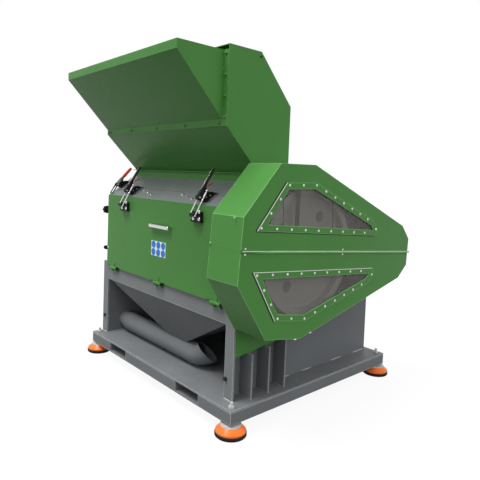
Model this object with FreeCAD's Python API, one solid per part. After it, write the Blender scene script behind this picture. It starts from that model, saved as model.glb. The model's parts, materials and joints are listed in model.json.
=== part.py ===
# Plastic granulator: a cutting chamber on a steel platform, fed by a hopper above it,
# with a belt drive under a guard at its right end and a suction pipe below it.
# Millimetres. X runs right along the front, Y to the back, Z up.
# The working frame has x = 0 at the middle of the platform, y = 0 at its front edge
# and z = 0 on the floor. The exported frame has its origin at the bottom centre of
# the whole machine's box.
import FreeCAD
import Part
import math
import os

V = FreeCAD.Vector
os.makedirs("parts", exist_ok=True)

# Platform
BASE_LENGTH = 1800.0
BASE_DEPTH = 1628.0
BASE_HEIGHT = 84.0
DECK = 10.0
RIM = 10.0
FORK_WIDTH = 250.0
FORK_SPACING = 921.0
FORK_FLOOR = 8.0
FORK_WALL = 6.0
CORNER_BLOCK = 120.0

# Levelling feet
FOOT_HEIGHT = 78.0
FOOT_RADIUS = 97.0
FOOT_INSET = 42.0
FOOT_RUBBER = 24.0
FOOT_CAP = 36.0
FOOT_PLATE_RADIUS = 64.0
FOOT_PLATE = 7.0
STUD_RADIUS = 10.0
STUD_HOLE_GAP = 1.0
STUD_TOP = 34.0
NUT_SIZE = 34.0
NUT_HEIGHT = 11.0

# Front frame of the lower body
FRAME_LEFT = -895.0
FRAME_RIGHT = 809.0
FRAME_FRONT = 88.0
POST_WIDTH = 79.0
POST_SHEET = 12.0
FRAME_TOP = 773.0
APRON_BOTTOM = 625.0
WALL_SHEET = 10.0
SEAT = 0.3
WALL_MARGIN = 34.0

# Ribs that carry the chamber ends
RIB_COUNT = 3
RIB_FIRST = 206.0
RIB_PITCH = 151.0
RIB_SHEET = 10.0
RIB_REACH = 41.0

# Cutting chamber
CHAMBER_LEFT = -830.0
END_PLATE = 40.0
END_BOTTOM_FRONT = 432.0
END_BOTTOM_BACK = 520.0
CHAMBER_BACK = 905.0
CHAMBER_TOP_FRONT = 1343.0
THROAT_FRONT = 311.0
THROAT_LEVEL = 1501.0
TOP_SHEET = 12.0
FOLD_SHARE = 0.424
FOLD_GAP = 3.0
THROAT_LEDGE = 12.0
CHAMBER_FLOOR = 12.0
BACK_WALL = 20.0

# Rotor and drive
ROTOR_Y = 500.0
ROTOR_Z = 1085.0
ROTOR_RADIUS = 190.0
KNIFE_RADIUS = 232.0
KNIFE_ROWS = 3
KNIFE_GAP = 6.0
KNIFE_SHEET = 14.0
KNIFE_HEIGHT = 73.0
KNIFE_BEVEL = 11.0
KNIFE_SEAT_BACK = 46.0
KNIFE_SEAT_FACE = 34.0
ROTOR_CORE_DROP = 45.0
SHAFT_RADIUS = 55.0
SHAFT_GAP = 0.05
SHAFT_CLEAR = 6.0
BEARING_RADIUS = 130.0
BEARING_DEPTH = 62.0
BED_DROP = 10.0
BED_KNIFE = 90.0
BED_SHEET = 20.0
BED_TILT = 0.4
BED_OVERHANG = 20.0
BEAM_HEIGHT = 80.0
BEAM_GAP = 60.0
SCREEN_GAP = 12.0
SCREEN_SHEET = 10.0
SCREEN_DROP = 100.0
PULLEY_RADIUS = 400.0
PULLEY_RIM = 40.0
PULLEY_WIDTH = 110.0
PULLEY_WEB = 30.0
PULLEY_HOLES = 4
PULLEY_HOLE_TURN = 56.0
PULLEY_HOLE_RADIUS = 36.0
PULLEY_HOLE_CIRCLE = 255.0
BELT_SHEET = 12.0
BELT_GAP = 0.4
MOTOR_Y = 1349.0
MOTOR_Z = 1030.0
MOTOR_PULLEY_RADIUS = 110.0
MOTOR_RADIUS = 215.0
MOTOR_LENGTH = 620.0
MOTOR_SHAFT_RADIUS = 32.0
MOTOR_FOOT = 25.0
MOTOR_FOOT_LENGTH = 90.0
MOTOR_FOOT_REACH = 240.0
MOTOR_STAND_REACH = 150.0
MOTOR_BELL = 14.0
MOTOR_BELL_LENGTH = 90.0
MOTOR_BOX_INSET = 190.0
MOTOR_BOX_WIDTH = 180.0
MOTOR_BOX_HEIGHT = 70.0
MOTOR_BORE = 90.0

# Belt guard: an eight-sided case, split along its middle, its rear end lower
GUARD_OUTER = 1071.0
GUARD_FRONT = -127.0
GUARD_OVER_SHAFT = 54.0
GUARD_TILT = 4.33
GUARD_SHEET = 5.0
GUARD_NOSE = 184.0
GUARD_RISE_AT = 250.0
GUARD_RISE = 501.0
GUARD_CREST_AT = 555.0
GUARD_CREST = 527.0
GUARD_FALL_AT = 1630.0
GUARD_FALL = 195.0
GUARD_TAIL_AT = 1733.0
GUARD_TAIL = 100.0
SPLIT_LIP = 11.0
SPLIT_LIP_SHEET = 5.0
SPLIT_LIP_START = 4.0
SPLIT_GAP = 0.3
WINDOW_LOW = 113.0
WINDOW_HIGH = 396.0
WINDOW_PEAK = 421.0
WINDOW_NEAR_AT = 104.0
WINDOW_RISE_AT = 308.0
WINDOW_PEAK_AT = 570.0
WINDOW_FALL_AT = 1225.0
WINDOW_FALL = 217.0
WINDOW_TAIL_AT = 1291.0
WINDOW_TAIL = 146.0
WINDOW_CLIP = 26.0
WINDOW_STRIP = 38.0
WINDOW_FRAME_SHEET = 4.0
PANE_SHEET = 5.0
PANE_LAP = 14.0

# Front door, hinged at its bottom edge
DOOR_LEFT = -808.0
DOOR_RIGHT = 794.0
DOOR_BOTTOM = 744.0
DOOR_DEPTH = 18.0
DOOR_SEAT = 0.4
DOOR_SHEET = 5.0
DOOR_STIFFENERS = 3
HINGE_PIN_RADIUS = 6.0
HINGE_BARREL_RADIUS = 11.0
HINGE_LENGTH = 96.0
HINGE_SPACING = 667.0
HINGE_MIDDLE = -20.0
HINGE_GAP = 0.05
HANDLE_LENGTH = 250.0
HANDLE_LEVEL = 1155.0
HANDLE_MIDDLE = 11.0
HANDLE_REACH = 30.0

# Latch clamps on the sloping top
CLAMP_LEFT = -502.0
CLAMP_RIGHT = 441.0
CLAMP_BASE_WIDTH = 108.0
CLAMP_BASE_START = 27.0
CLAMP_BASE_LENGTH = 104.0
CLAMP_BASE_SHEET = 6.0
PIVOT_ALONG = 7.0
PIVOT_ABOVE = 55.0
PIVOT_RADIUS = 5.0
PIVOT_GAP = 0.05
EAR_SHEET = 4.0
EAR_GAP = 1.0
EAR_HEAD = 12.0
LEVER_WIDTH = 22.0
LEVER_LENGTH = 222.0
LEVER_ANGLE = 56.0
LEVER_CHEEK = 62.0
ROD_RADIUS = 4.5
ROD_SPACING = 58.0
ROD_LENGTH = 172.0
ROD_ANGLE = 61.0
ROD_SLEEVE = 34.0
LOOP_FORWARD = 51.0
LOOP_LEVEL = 1272.0
CATCH_WIDTH = 100.0
CATCH_TOP = 1300.0
CATCH_HEIGHT = 72.0
CATCH_DEPTH = 25.0
CATCH_NOSE = 40.0
RED_CLAMP_X = -784.0
RED_CLAMP_SCALE = 0.86
RED_CLAMP_SHIFT = 80.0
RED_LEVER_ANGLE = 46.5
RED_HOOK_LENGTH = 88.0
RED_HOOK_ANGLE = 58.0
RED_HOOK_SPACING = 40.0

# Hopper
HOPPER_LEFT = -775.0
HOPPER_RIGHT = 733.0
HOPPER_SHEET = 5.0
BAND_HEIGHT = 60.0
BAND_FLANGE = 22.0
MOUTH_FRONT = 36.0
MOUTH_BOTTOM = 1835.0
HOPPER_TOP = 2320.0
ROOF_FRONT = 302.0
ROOF_BACK = 590.0
ROOF_EAVES = 2010.0
HOOD_LIP = -311.0
HOOD_TOP = 2288.0
HOOD_LIP_HEIGHT = 54.0
HOOD_RIGHT = 689.0
HOOD_FLANGE = 44.0

# Discharge below the chamber
PIPE_RADIUS = 77.0
PIPE_WALL = 3.0
PIPE_Y = 270.0
PIPE_Z = 247.0
PIPE_START = -735.0
PIPE_BEND_AT = 213.0
PIPE_BEND = 63.0
PIPE_BEND_LEAN = 33.0
PIPE_MOUTH_RADIUS = 93.0
PIPE_MOUTH_AHEAD = 95.0
PIPE_MOUTH_OFF = 41.0
PIPE_STEP = 6.0
NECK_RADIUS = 66.0
NECK_GAP = 1.0
COLLAR_RADIUS = 74.0
COLLAR = 8.0
STUB_RADIUS = 64.0
STUB_END = -950.0
FUNNEL_SHEET = 4.0
FUNNEL_LEFT = -60.0
FUNNEL_RIGHT = 128.0
FUNNEL_SLOT = 84.0
FUNNEL_RIM = 35.0

# Screw knobs on the door's left edge: a star knob above and a small plain one below
KNOB_STEM = 34.0
KNOB_STEM_RADIUS = 7.0
STAR_RADIUS = 32.0
STAR_DEPTH = 26.0
STAR_LOBES = 7
STAR_LEVEL = 1213.0
PLAIN_RADIUS = 17.0
PLAIN_DEPTH = 20.0
PLAIN_LEVEL = 888.0

# Worked out from the sizes above
BASE_HALF = BASE_LENGTH / 2
BASE_TOP = FOOT_HEIGHT + BASE_HEIGHT
FOOT_X = BASE_HALF - FOOT_INSET
WALL_LEFT = FRAME_LEFT + POST_WIDTH
WALL_BACK = BASE_DEPTH - WALL_MARGIN
WALL_RIGHT = FRAME_RIGHT - POST_WIDTH
FRAME_BACK = FRAME_FRONT + POST_SHEET
SLOPE = math.atan2(THROAT_LEVEL - CHAMBER_TOP_FRONT, THROAT_FRONT - FRAME_FRONT)
SLOPE_LENGTH = math.hypot(THROAT_LEVEL - CHAMBER_TOP_FRONT, THROAT_FRONT - FRAME_FRONT)
TOP_DROP = TOP_SHEET / math.cos(SLOPE)
DOOR_BACK = FRAME_FRONT - DOOR_SEAT
DOOR_FRONT = DOOR_BACK - DOOR_DEPTH
HINGE_Y = DOOR_FRONT - 4.0
HINGE_Z = DOOR_BOTTOM - 4.0
BAND_TOP = THROAT_LEVEL + BAND_HEIGHT
GUARD_SPLIT = ROTOR_Z + GUARD_OVER_SHAFT
GUARD_INNER = FRAME_RIGHT
BELT_X = (FRAME_RIGHT + GUARD_OUTER) / 2 + 20.0
LEFT_REACH = -FOOT_X - FOOT_RADIUS
RIGHT_REACH = GUARD_OUTER + SPLIT_LIP
FRONT_REACH = HOOD_LIP
BACK_REACH = BASE_DEPTH - FOOT_INSET + FOOT_RADIUS
ORIGIN = V((LEFT_REACH + RIGHT_REACH) / 2, (FRONT_REACH + BACK_REACH) / 2, 0)


def block(x0, x1, y0, y1, z0, z1):
    """A box between two corners."""
    return Part.makeBox(x1 - x0, y1 - y0, z1 - z0, V(x0, y0, z0))


def prism_x(points, x0, x1):
    """A solid with a side outline of (y, z) points, from x0 to x1."""
    wire = Part.makePolygon([V(x0, y, z) for y, z in points + points[:1]])
    return Part.Face(wire).extrude(V(x1 - x0, 0, 0))


def rod_x(radius, y, z, x0, x1):
    """A round bar along X."""
    return Part.makeCylinder(radius, x1 - x0, V(x0, y, z), V(1, 0, 0))


def rod_z(radius, x, y, z0, z1):
    """A round bar along Z."""
    return Part.makeCylinder(radius, z1 - z0, V(x, y, z0), V(0, 0, 1))


def rod_between(radius, a, b):
    """A round bar from point a to point b."""
    return Part.makeCylinder(radius, (b - a).Length, a, b - a)


def fused(shapes):
    """One clean solid from pieces that are welded or cast together."""
    return shapes[0].fuse(shapes[1:]).removeSplitter()


def hexagon(across, x, y, z0, height):
    """A hexagon nut blank."""
    reach = across / math.sqrt(3)
    turns = [math.radians(60 * i) for i in range(6)]
    points = [V(x + reach * math.cos(t), y + reach * math.sin(t), z0) for t in turns]
    wire = Part.makePolygon(points + points[:1])
    return Part.Face(wire).extrude(V(0, 0, height))


def save(name, *solids):
    """Writes one node, moved to the exported frame."""
    shape = solids[0] if len(solids) == 1 else Part.makeCompound(list(solids))
    shape = shape.copy()
    shape.translate(-ORIGIN)
    shape.exportStep("parts/" + name + ".step")


def corners():
    """The four places of the levelling feet."""
    for x in (-FOOT_X, FOOT_X):
        for y in (FOOT_INSET, BASE_DEPTH - FOOT_INSET):
            yield x, y


# Platform
def fork_edges():
    """The left and right inside face of each fork pocket."""
    for middle in (-FORK_SPACING / 2, FORK_SPACING / 2):
        yield middle - FORK_WIDTH / 2, middle + FORK_WIDTH / 2


def build_platform():
    under = BASE_TOP - DECK
    deck = block(-BASE_HALF, BASE_HALF, 0, BASE_DEPTH, under, BASE_TOP)
    blocks = []
    holes = []
    for x, y in corners():
        x0 = max(x - CORNER_BLOCK / 2, -BASE_HALF + RIM)
        x1 = min(x + CORNER_BLOCK / 2, BASE_HALF - RIM)
        y0 = max(y - CORNER_BLOCK / 2, RIM)
        y1 = min(y + CORNER_BLOCK / 2, BASE_DEPTH - RIM)
        hole = rod_z(STUD_RADIUS + STUD_HOLE_GAP, x, y, 0, 2 * BASE_TOP)
        blocks.append(block(x0, x1, y0, y1, FOOT_HEIGHT, under))
        holes.append(hole)
    save("base_deck", deck.cut(holes))

    pockets = list(fork_edges())
    stops = [-BASE_HALF] + [edge for pair in pockets for edge in pair] + [BASE_HALF]
    spans = []
    for x0, x1 in zip(stops[0::2], stops[1::2]):
        front = block(x0, x1, 0, RIM, FOOT_HEIGHT, under)
        back = block(x0, x1, BASE_DEPTH - RIM, BASE_DEPTH, FOOT_HEIGHT, under)
        spans.append((front, back))
    rims = [*spans[1]]
    for i, x0, pair in ((0, -BASE_HALF, blocks[:2]), (2, BASE_HALF - RIM, blocks[2:])):
        side = block(x0, x0 + RIM, RIM, BASE_DEPTH - RIM, FOOT_HEIGHT, under)
        rims.append(fused([side, *spans[i], *pair]).cut(holes))
    save("base_rims", *rims)

    channels = []
    for x0, x1 in pockets:
        floor = block(x0, x1, 0, BASE_DEPTH, FOOT_HEIGHT, FOOT_HEIGHT + FORK_FLOOR)
        left = block(x0 - FORK_WALL, x0, RIM, BASE_DEPTH - RIM, FOOT_HEIGHT, under)
        right = block(x1, x1 + FORK_WALL, RIM, BASE_DEPTH - RIM, FOOT_HEIGHT, under)
        channels.append(fused([floor, left, right]))
    save("fork_pockets", *channels)


def build_feet():
    rubbers = []
    caps = []
    studs = []
    cap_top = FOOT_RUBBER + FOOT_CAP
    plate_top = cap_top + FOOT_PLATE
    for x, y in corners():
        ring = rod_z(FOOT_RADIUS, x, y, 0, FOOT_RUBBER)
        ring = ring.makeChamfer(4.0, [e for e in ring.Edges if e.BoundBox.ZLength < 0.1])
        rubbers.append(ring)
        shoulder = FOOT_RADIUS - 4.0
        outline = [
            V(x, y, FOOT_RUBBER),
            V(x + shoulder, y, FOOT_RUBBER),
            V(x + shoulder, y, FOOT_RUBBER + 0.28 * FOOT_CAP),
            V(x + 0.86 * shoulder, y, FOOT_RUBBER + 0.62 * FOOT_CAP),
            V(x + FOOT_PLATE_RADIUS, y, cap_top),
            V(x, y, cap_top),
        ]
        profile = Part.Face(Part.makePolygon(outline + outline[:1]))
        caps.append(profile.revolve(V(x, y, 0), V(0, 0, 1), 360))
        plate = rod_z(FOOT_PLATE_RADIUS, x, y, cap_top, plate_top)
        lower_nut = hexagon(NUT_SIZE, x, y, plate_top, FOOT_HEIGHT - plate_top)
        stud = rod_z(STUD_RADIUS, x, y, plate_top, BASE_TOP + STUD_TOP)
        upper_nut = hexagon(NUT_SIZE, x, y, BASE_TOP, NUT_HEIGHT)
        studs.append(fused([plate, lower_nut, stud, upper_nut]))
    save("feet_rubber", *rubbers)
    save("feet_caps", *caps)
    save("feet_studs", *studs)


# Lower body
def build_frame():
    posts = []
    for x0 in (FRAME_LEFT, WALL_RIGHT):
        posts.append(block(x0, x0 + POST_WIDTH, FRAME_FRONT, FRAME_BACK, BASE_TOP, FRAME_TOP))
    apron = block(WALL_LEFT + SEAT, WALL_RIGHT - SEAT, FRAME_FRONT, FRAME_BACK,
                  APRON_BOTTOM, FRAME_TOP)
    save("front_frame", *posts, apron)

    hole = rod_x(NECK_RADIUS + NECK_GAP, PIPE_Y, PIPE_Z, FRAME_LEFT, 0)
    left = block(WALL_LEFT - WALL_SHEET, WALL_LEFT, FRAME_BACK, WALL_BACK, BASE_TOP, FRAME_TOP)
    right = block(WALL_RIGHT, WALL_RIGHT + WALL_SHEET, FRAME_BACK, WALL_BACK, BASE_TOP, FRAME_TOP)
    rear = block(WALL_LEFT + SEAT, WALL_RIGHT - SEAT, WALL_BACK - WALL_SHEET, WALL_BACK,
                 BASE_TOP, FRAME_TOP)
    save("lower_walls", left.cut(hole), right, rear)
    deck = block(WALL_LEFT - WALL_SHEET, WALL_RIGHT + WALL_SHEET, CHAMBER_BACK - BACK_WALL,
                 WALL_BACK, FRAME_TOP, FRAME_TOP + CHAMBER_FLOOR)
    notch = block(CHAMBER_LEFT, CHAMBER_LEFT + END_PLATE, CHAMBER_BACK - 2 * BACK_WALL,
                  CHAMBER_BACK, FRAME_TOP - 1.0, FRAME_TOP + CHAMBER_FLOOR + 1.0)
    deck = deck.cut(notch)
    strips = []
    for x0, x1 in ((WALL_LEFT, CHAMBER_LEFT + END_PLATE),
                   (WALL_RIGHT + WALL_SHEET, FRAME_RIGHT - END_PLATE)):
        strips.append(block(x0, x1, FRAME_BACK, CHAMBER_BACK - BACK_WALL - SEAT,
                            FRAME_TOP - CHAMBER_FLOOR, FRAME_TOP))
    save("deck_plates", deck, *strips)

    ribs = []
    for i in range(RIB_COUNT):
        y0 = RIB_FIRST + i * RIB_PITCH
        y1 = y0 + RIB_SHEET
        outline = [(y0, BASE_TOP), (y0, end_bottom(y0)), (y1, end_bottom(y1)), (y1, BASE_TOP)]
        ribs.append(prism_x(outline, WALL_RIGHT + WALL_SHEET, FRAME_RIGHT + RIB_REACH))
        if y0 > PIPE_Y + PIPE_RADIUS:
            ribs.append(block(FRAME_LEFT, WALL_LEFT - WALL_SHEET, y0, y1, BASE_TOP, FRAME_TOP))
    save("side_ribs", *ribs)


def pipe_ring(radius, ahead, off, turn):
    """A ring past the pipe's straight end, moved off its axis and turned by degrees."""
    lean = math.radians(PIPE_BEND_LEAN)
    bend = math.radians(turn)
    aside = V(0, math.sin(lean), math.cos(lean))
    facing = V(1, 0, 0) * math.cos(bend) + aside * math.sin(bend)
    ring = Part.makeCircle(radius, V(0, 0, 0), V(1, 0, 0))
    middle = V(PIPE_BEND_AT + ahead, PIPE_Y, PIPE_Z) + aside * off
    ring.Placement = FreeCAD.Placement(middle, FreeCAD.Rotation(V(1, 0, 0), facing))
    return Part.Wire(ring)


def pipe_end(drawn_in_by, beyond):
    """The pipe's bend up to its flared open mouth, as a filled shape."""
    narrow = PIPE_RADIUS - drawn_in_by
    wide = PIPE_MOUTH_RADIUS - drawn_in_by
    rings = []
    for share in (0.0, 0.33, 0.67, 1.0 + beyond):
        rings.append(pipe_ring(narrow + (wide - narrow) * share ** 2, PIPE_MOUTH_AHEAD * share,
                               PIPE_MOUTH_OFF * share ** 2, PIPE_BEND * min(share, 1.0)))
    return Part.makeLoft(rings, True, True)


def build_discharge():
    wall = PIPE_WALL
    outside = WALL_LEFT - WALL_SHEET
    step = PIPE_START + PIPE_STEP
    outer = fused([
        rod_x(PIPE_RADIUS, PIPE_Y, PIPE_Z, PIPE_START, PIPE_BEND_AT),
        pipe_end(0.0, 0.0),
        rod_x(NECK_RADIUS, PIPE_Y, PIPE_Z, outside, PIPE_START),
        rod_x(COLLAR_RADIUS, PIPE_Y, PIPE_Z, outside - COLLAR, outside),
        rod_x(STUB_RADIUS, PIPE_Y, PIPE_Z, STUB_END, outside - COLLAR),
    ])
    inner = fused([
        rod_x(PIPE_RADIUS - wall, PIPE_Y, PIPE_Z, step, PIPE_BEND_AT),
        pipe_end(wall, 0.04),
        rod_x(STUB_RADIUS - wall, PIPE_Y, PIPE_Z, STUB_END - 1.0, step),
    ])
    half = FUNNEL_SLOT / 2 - FUNNEL_SHEET
    slot = block(FUNNEL_LEFT + FUNNEL_SHEET, FUNNEL_RIGHT - FUNNEL_SHEET,
                 PIPE_Y - half, PIPE_Y + half, PIPE_Z, PIPE_Z + PIPE_RADIUS + 1.0)
    save("suction_pipe", outer.cut(inner).cut(slot).removeSplitter())

    top = APRON_BOTTOM
    drop = math.sqrt(PIPE_RADIUS ** 2 - (FUNNEL_SLOT / 2) ** 2)
    low = PIPE_Z + drop
    y_near = PIPE_Y - FUNNEL_SLOT / 2
    y_far = PIPE_Y + FUNNEL_SLOT / 2
    back = CHAMBER_BACK - BACK_WALL
    up = [V(WALL_LEFT, FRAME_BACK, top), V(WALL_RIGHT, FRAME_BACK, top),
          V(WALL_RIGHT, back, top), V(WALL_LEFT, back, top)]
    down = [V(FUNNEL_LEFT, y_near, low), V(FUNNEL_RIGHT, y_near, low),
            V(FUNNEL_RIGHT, y_far, low), V(FUNNEL_LEFT, y_far, low)]
    solid = tapered(up, down)
    inside = tapered(inset(up, FUNNEL_SHEET), inset(down, FUNNEL_SHEET))
    rim = block(WALL_LEFT, WALL_RIGHT, FRAME_BACK, back, top, top + FUNNEL_RIM)
    rim = rim.cut(block(WALL_LEFT + FUNNEL_SHEET, WALL_RIGHT - FUNNEL_SHEET,
                        FRAME_BACK + FUNNEL_SHEET, back - FUNNEL_SHEET, top, top + FUNNEL_RIM))
    pipe = rod_x(PIPE_RADIUS, PIPE_Y, PIPE_Z, FUNNEL_LEFT - PIPE_RADIUS,
                 FUNNEL_RIGHT + PIPE_RADIUS)
    save("funnel", solid.cut(inside).cut(pipe).fuse(rim).removeSplitter())


def inset(loop, by):
    """A four-cornered loop drawn in by the same distance on each side."""
    middle = sum((p for p in loop), V(0, 0, 0)) * (1.0 / len(loop))
    result = []
    for p in loop:
        x = p.x + by if p.x < middle.x else p.x - by
        y = p.y + by if p.y < middle.y else p.y - by
        result.append(V(x, y, p.z))
    return result


def tapered(upper, lower):
    """A solid with four flat sides between two four-cornered loops."""
    faces = [Part.Face(Part.makePolygon(loop + loop[:1])) for loop in (upper, lower)]
    for i in range(4):
        j = (i + 1) % 4
        corners_of_side = [upper[i], upper[j], lower[j], lower[i], upper[i]]
        faces.append(Part.Face(Part.makePolygon(corners_of_side)))
    solid = Part.Solid(Part.Shell(faces))
    if solid.Volume < 0:
        solid.reverse()
    return solid


# Cutting chamber
def end_bottom(y):
    """The slanting lower edge of a chamber end plate."""
    share = (y - FRAME_BACK) / (CHAMBER_BACK - FRAME_BACK)
    return END_BOTTOM_FRONT + share * (END_BOTTOM_BACK - END_BOTTOM_FRONT)


def end_outline(foot):
    """A chamber end plate above the frame's top, with the corners of its foot below it."""
    return [
        (FRAME_FRONT, FRAME_TOP),
        (FRAME_FRONT, CHAMBER_TOP_FRONT - TOP_DROP),
        (THROAT_FRONT, THROAT_LEVEL - TOP_DROP),
        (CHAMBER_BACK, THROAT_LEVEL - TOP_DROP),
    ] + foot


def slope_point(along, above):
    """A (y, z) point at a distance up the sloping top and a height above it."""
    y = FRAME_FRONT + along * math.cos(SLOPE) - above * math.sin(SLOPE)
    z = CHAMBER_TOP_FRONT + along * math.sin(SLOPE) + above * math.cos(SLOPE)
    return y, z


def build_chamber():
    shaft_hole = rod_x(SHAFT_RADIUS + SHAFT_CLEAR, ROTOR_Y, ROTOR_Z,
                       CHAMBER_LEFT - 10.0, FRAME_RIGHT + 10.0)
    short = end_outline([(CHAMBER_BACK, FRAME_TOP)])
    deep = end_outline([(CHAMBER_BACK, END_BOTTOM_BACK), (FRAME_BACK, END_BOTTOM_FRONT),
                        (FRAME_BACK, FRAME_TOP)])
    left = prism_x(short, CHAMBER_LEFT, CHAMBER_LEFT + END_PLATE).cut(shaft_hole)
    right = prism_x(deep, FRAME_RIGHT - END_PLATE, FRAME_RIGHT).cut(shaft_hole)
    save("chamber_ends", left, right)

    inner_left = CHAMBER_LEFT + END_PLATE
    inner_right = FRAME_RIGHT - END_PLATE
    save("chamber_back", block(inner_left, inner_right, CHAMBER_BACK - BACK_WALL, CHAMBER_BACK,
                               FRAME_TOP + CHAMBER_FLOOR, THROAT_LEVEL - TOP_DROP))
    fold = FOLD_SHARE * SLOPE_LENGTH
    lower = [slope_point(0, -TOP_SHEET), slope_point(0, 0),
             slope_point(fold - FOLD_GAP, 0), slope_point(fold - FOLD_GAP, -TOP_SHEET)]
    under = THROAT_LEVEL - TOP_DROP
    ledge = THROAT_FRONT + THROAT_LEDGE
    upper = [slope_point(fold, -TOP_SHEET), slope_point(fold, 0), (THROAT_FRONT, THROAT_LEVEL),
             (ledge, THROAT_LEVEL), (ledge, under), (THROAT_FRONT, under)]
    save("top_slopes", prism_x(lower, CHAMBER_LEFT, FRAME_RIGHT),
         prism_x(upper, CHAMBER_LEFT, FRAME_RIGHT))
    strips = [block(CHAMBER_LEFT, FRAME_RIGHT, ROOF_BACK - HOPPER_SHEET, CHAMBER_BACK,
                    under, THROAT_LEVEL)]
    for x0, x1 in ((CHAMBER_LEFT, HOPPER_LEFT + HOPPER_SHEET),
                   (HOPPER_RIGHT - HOPPER_SHEET, FRAME_RIGHT)):
        strips.append(block(x0, x1, ledge, ROOF_BACK - HOPPER_SHEET - SEAT, under, THROAT_LEVEL))
    save("top_plates", *strips)

    seat = ROTOR_Z - BED_DROP
    near = ROTOR_Y - KNIFE_RADIUS - KNIFE_GAP
    far = ROTOR_Y + KNIFE_RADIUS + KNIFE_GAP
    beams = []
    blades = []
    for edge, wall in ((near, FRAME_BACK + BEAM_GAP), (far, CHAMBER_BACK - BACK_WALL)):
        sign = 1.0 if wall > edge else -1.0
        step = edge + sign * BED_OVERHANG
        out = edge + sign * BED_KNIFE
        rise = BED_TILT * abs(wall - edge)
        outline = [(wall, seat - BEAM_HEIGHT), (wall, seat + rise),
                   (step, seat + BED_TILT * BED_OVERHANG), (step, seat - 0.75 * BEAM_HEIGHT)]
        beams.append(prism_x(outline, inner_left, inner_right))
        top = BED_TILT * BED_KNIFE
        outline = [(edge, seat), (out, seat + top), (out, seat + top + BED_SHEET),
                   (edge, seat + BED_SHEET)]
        blades.append(prism_x(outline, inner_left, inner_right))
    save("knife_beams", *beams)
    save("bed_knives", *blades)
    save("screen", screen_shell(inner_left, inner_right))


def screen_shell(x0, x1):
    """The half-round sieve under the rotor."""
    radius = KNIFE_RADIUS + SCREEN_GAP
    ring = rod_x(radius + SCREEN_SHEET, ROTOR_Y, ROTOR_Z, x0, x1)
    ring = ring.cut(rod_x(radius, ROTOR_Y, ROTOR_Z, x0, x1))
    reach = radius + 2 * SCREEN_SHEET
    cap = block(x0, x1, ROTOR_Y - reach, ROTOR_Y + reach, ROTOR_Z - SCREEN_DROP, ROTOR_Z + reach)
    return ring.cut(cap)


def knife_row(turn, x0, x1):
    """One rotor knife on its seat, at a turn about the shaft."""
    root = ROTOR_RADIUS - ROTOR_CORE_DROP - 15.0
    face = KNIFE_SEAT_FACE
    seat = [(-KNIFE_SEAT_BACK, root), (face, root), (face, KNIFE_RADIUS - 34.0),
            (-KNIFE_SEAT_BACK, ROTOR_RADIUS - 8.0)]
    tip = KNIFE_RADIUS - 5.0
    blade = [(face, tip - KNIFE_HEIGHT), (face + KNIFE_SHEET, tip - KNIFE_HEIGHT),
             (face + KNIFE_SHEET, tip), (face, tip - KNIFE_BEVEL)]
    row = []
    for outline in (seat, blade):
        shape = prism_x([(ROTOR_Y + a, ROTOR_Z + b) for a, b in outline], x0, x1)
        shape.rotate(V(0, ROTOR_Y, ROTOR_Z), V(1, 0, 0), turn)
        row.append(shape)
    return row


def build_rotor():
    gap = 12.0
    x0 = CHAMBER_LEFT + END_PLATE + gap
    x1 = FRAME_RIGHT - END_PLATE - gap
    core = rod_x(ROTOR_RADIUS - ROTOR_CORE_DROP, ROTOR_Y, ROTOR_Z, x0, x1)
    seats = []
    blades = []
    for i in range(KNIFE_ROWS):
        seat, blade = knife_row(i * 360.0 / KNIFE_ROWS + 40.0, x0, x1)
        seats.append(seat)
        blades.append(blade)
    shaft = rod_x(SHAFT_RADIUS, ROTOR_Y, ROTOR_Z, CHAMBER_LEFT - BEARING_DEPTH + 8.0,
                  BELT_X + PULLEY_WIDTH / 2 + 8.0)
    save("rotor", fused([core, shaft] + seats))
    save("rotor_knives", *blades)

    housings = []
    for x0, x1 in ((CHAMBER_LEFT - BEARING_DEPTH, CHAMBER_LEFT),
                   (FRAME_RIGHT, FRAME_RIGHT + BEARING_DEPTH)):
        body = rod_x(BEARING_RADIUS, ROTOR_Y, ROTOR_Z, x0, x1)
        bore = rod_x(SHAFT_RADIUS + SHAFT_GAP, ROTOR_Y, ROTOR_Z, x0 - 1.0, x1 + 1.0)
        housings.append(body.cut(bore))
    save("bearing_housings", *housings)


def wheel(radius, y, z, bore):
    """A belt wheel with two side flanges, its bore on a shaft."""
    half = PULLEY_WIDTH / 2
    body = rod_x(radius, y, z, BELT_X - half, BELT_X + half)
    flanges = []
    for x0 in (BELT_X - half - 6.0, BELT_X + half):
        flanges.append(rod_x(radius + BELT_SHEET * 0.7, y, z, x0, x0 + 6.0))
    body = body.fuse(flanges)
    return body.cut(rod_x(bore, y, z, BELT_X - PULLEY_WIDTH, BELT_X + PULLEY_WIDTH))


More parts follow.
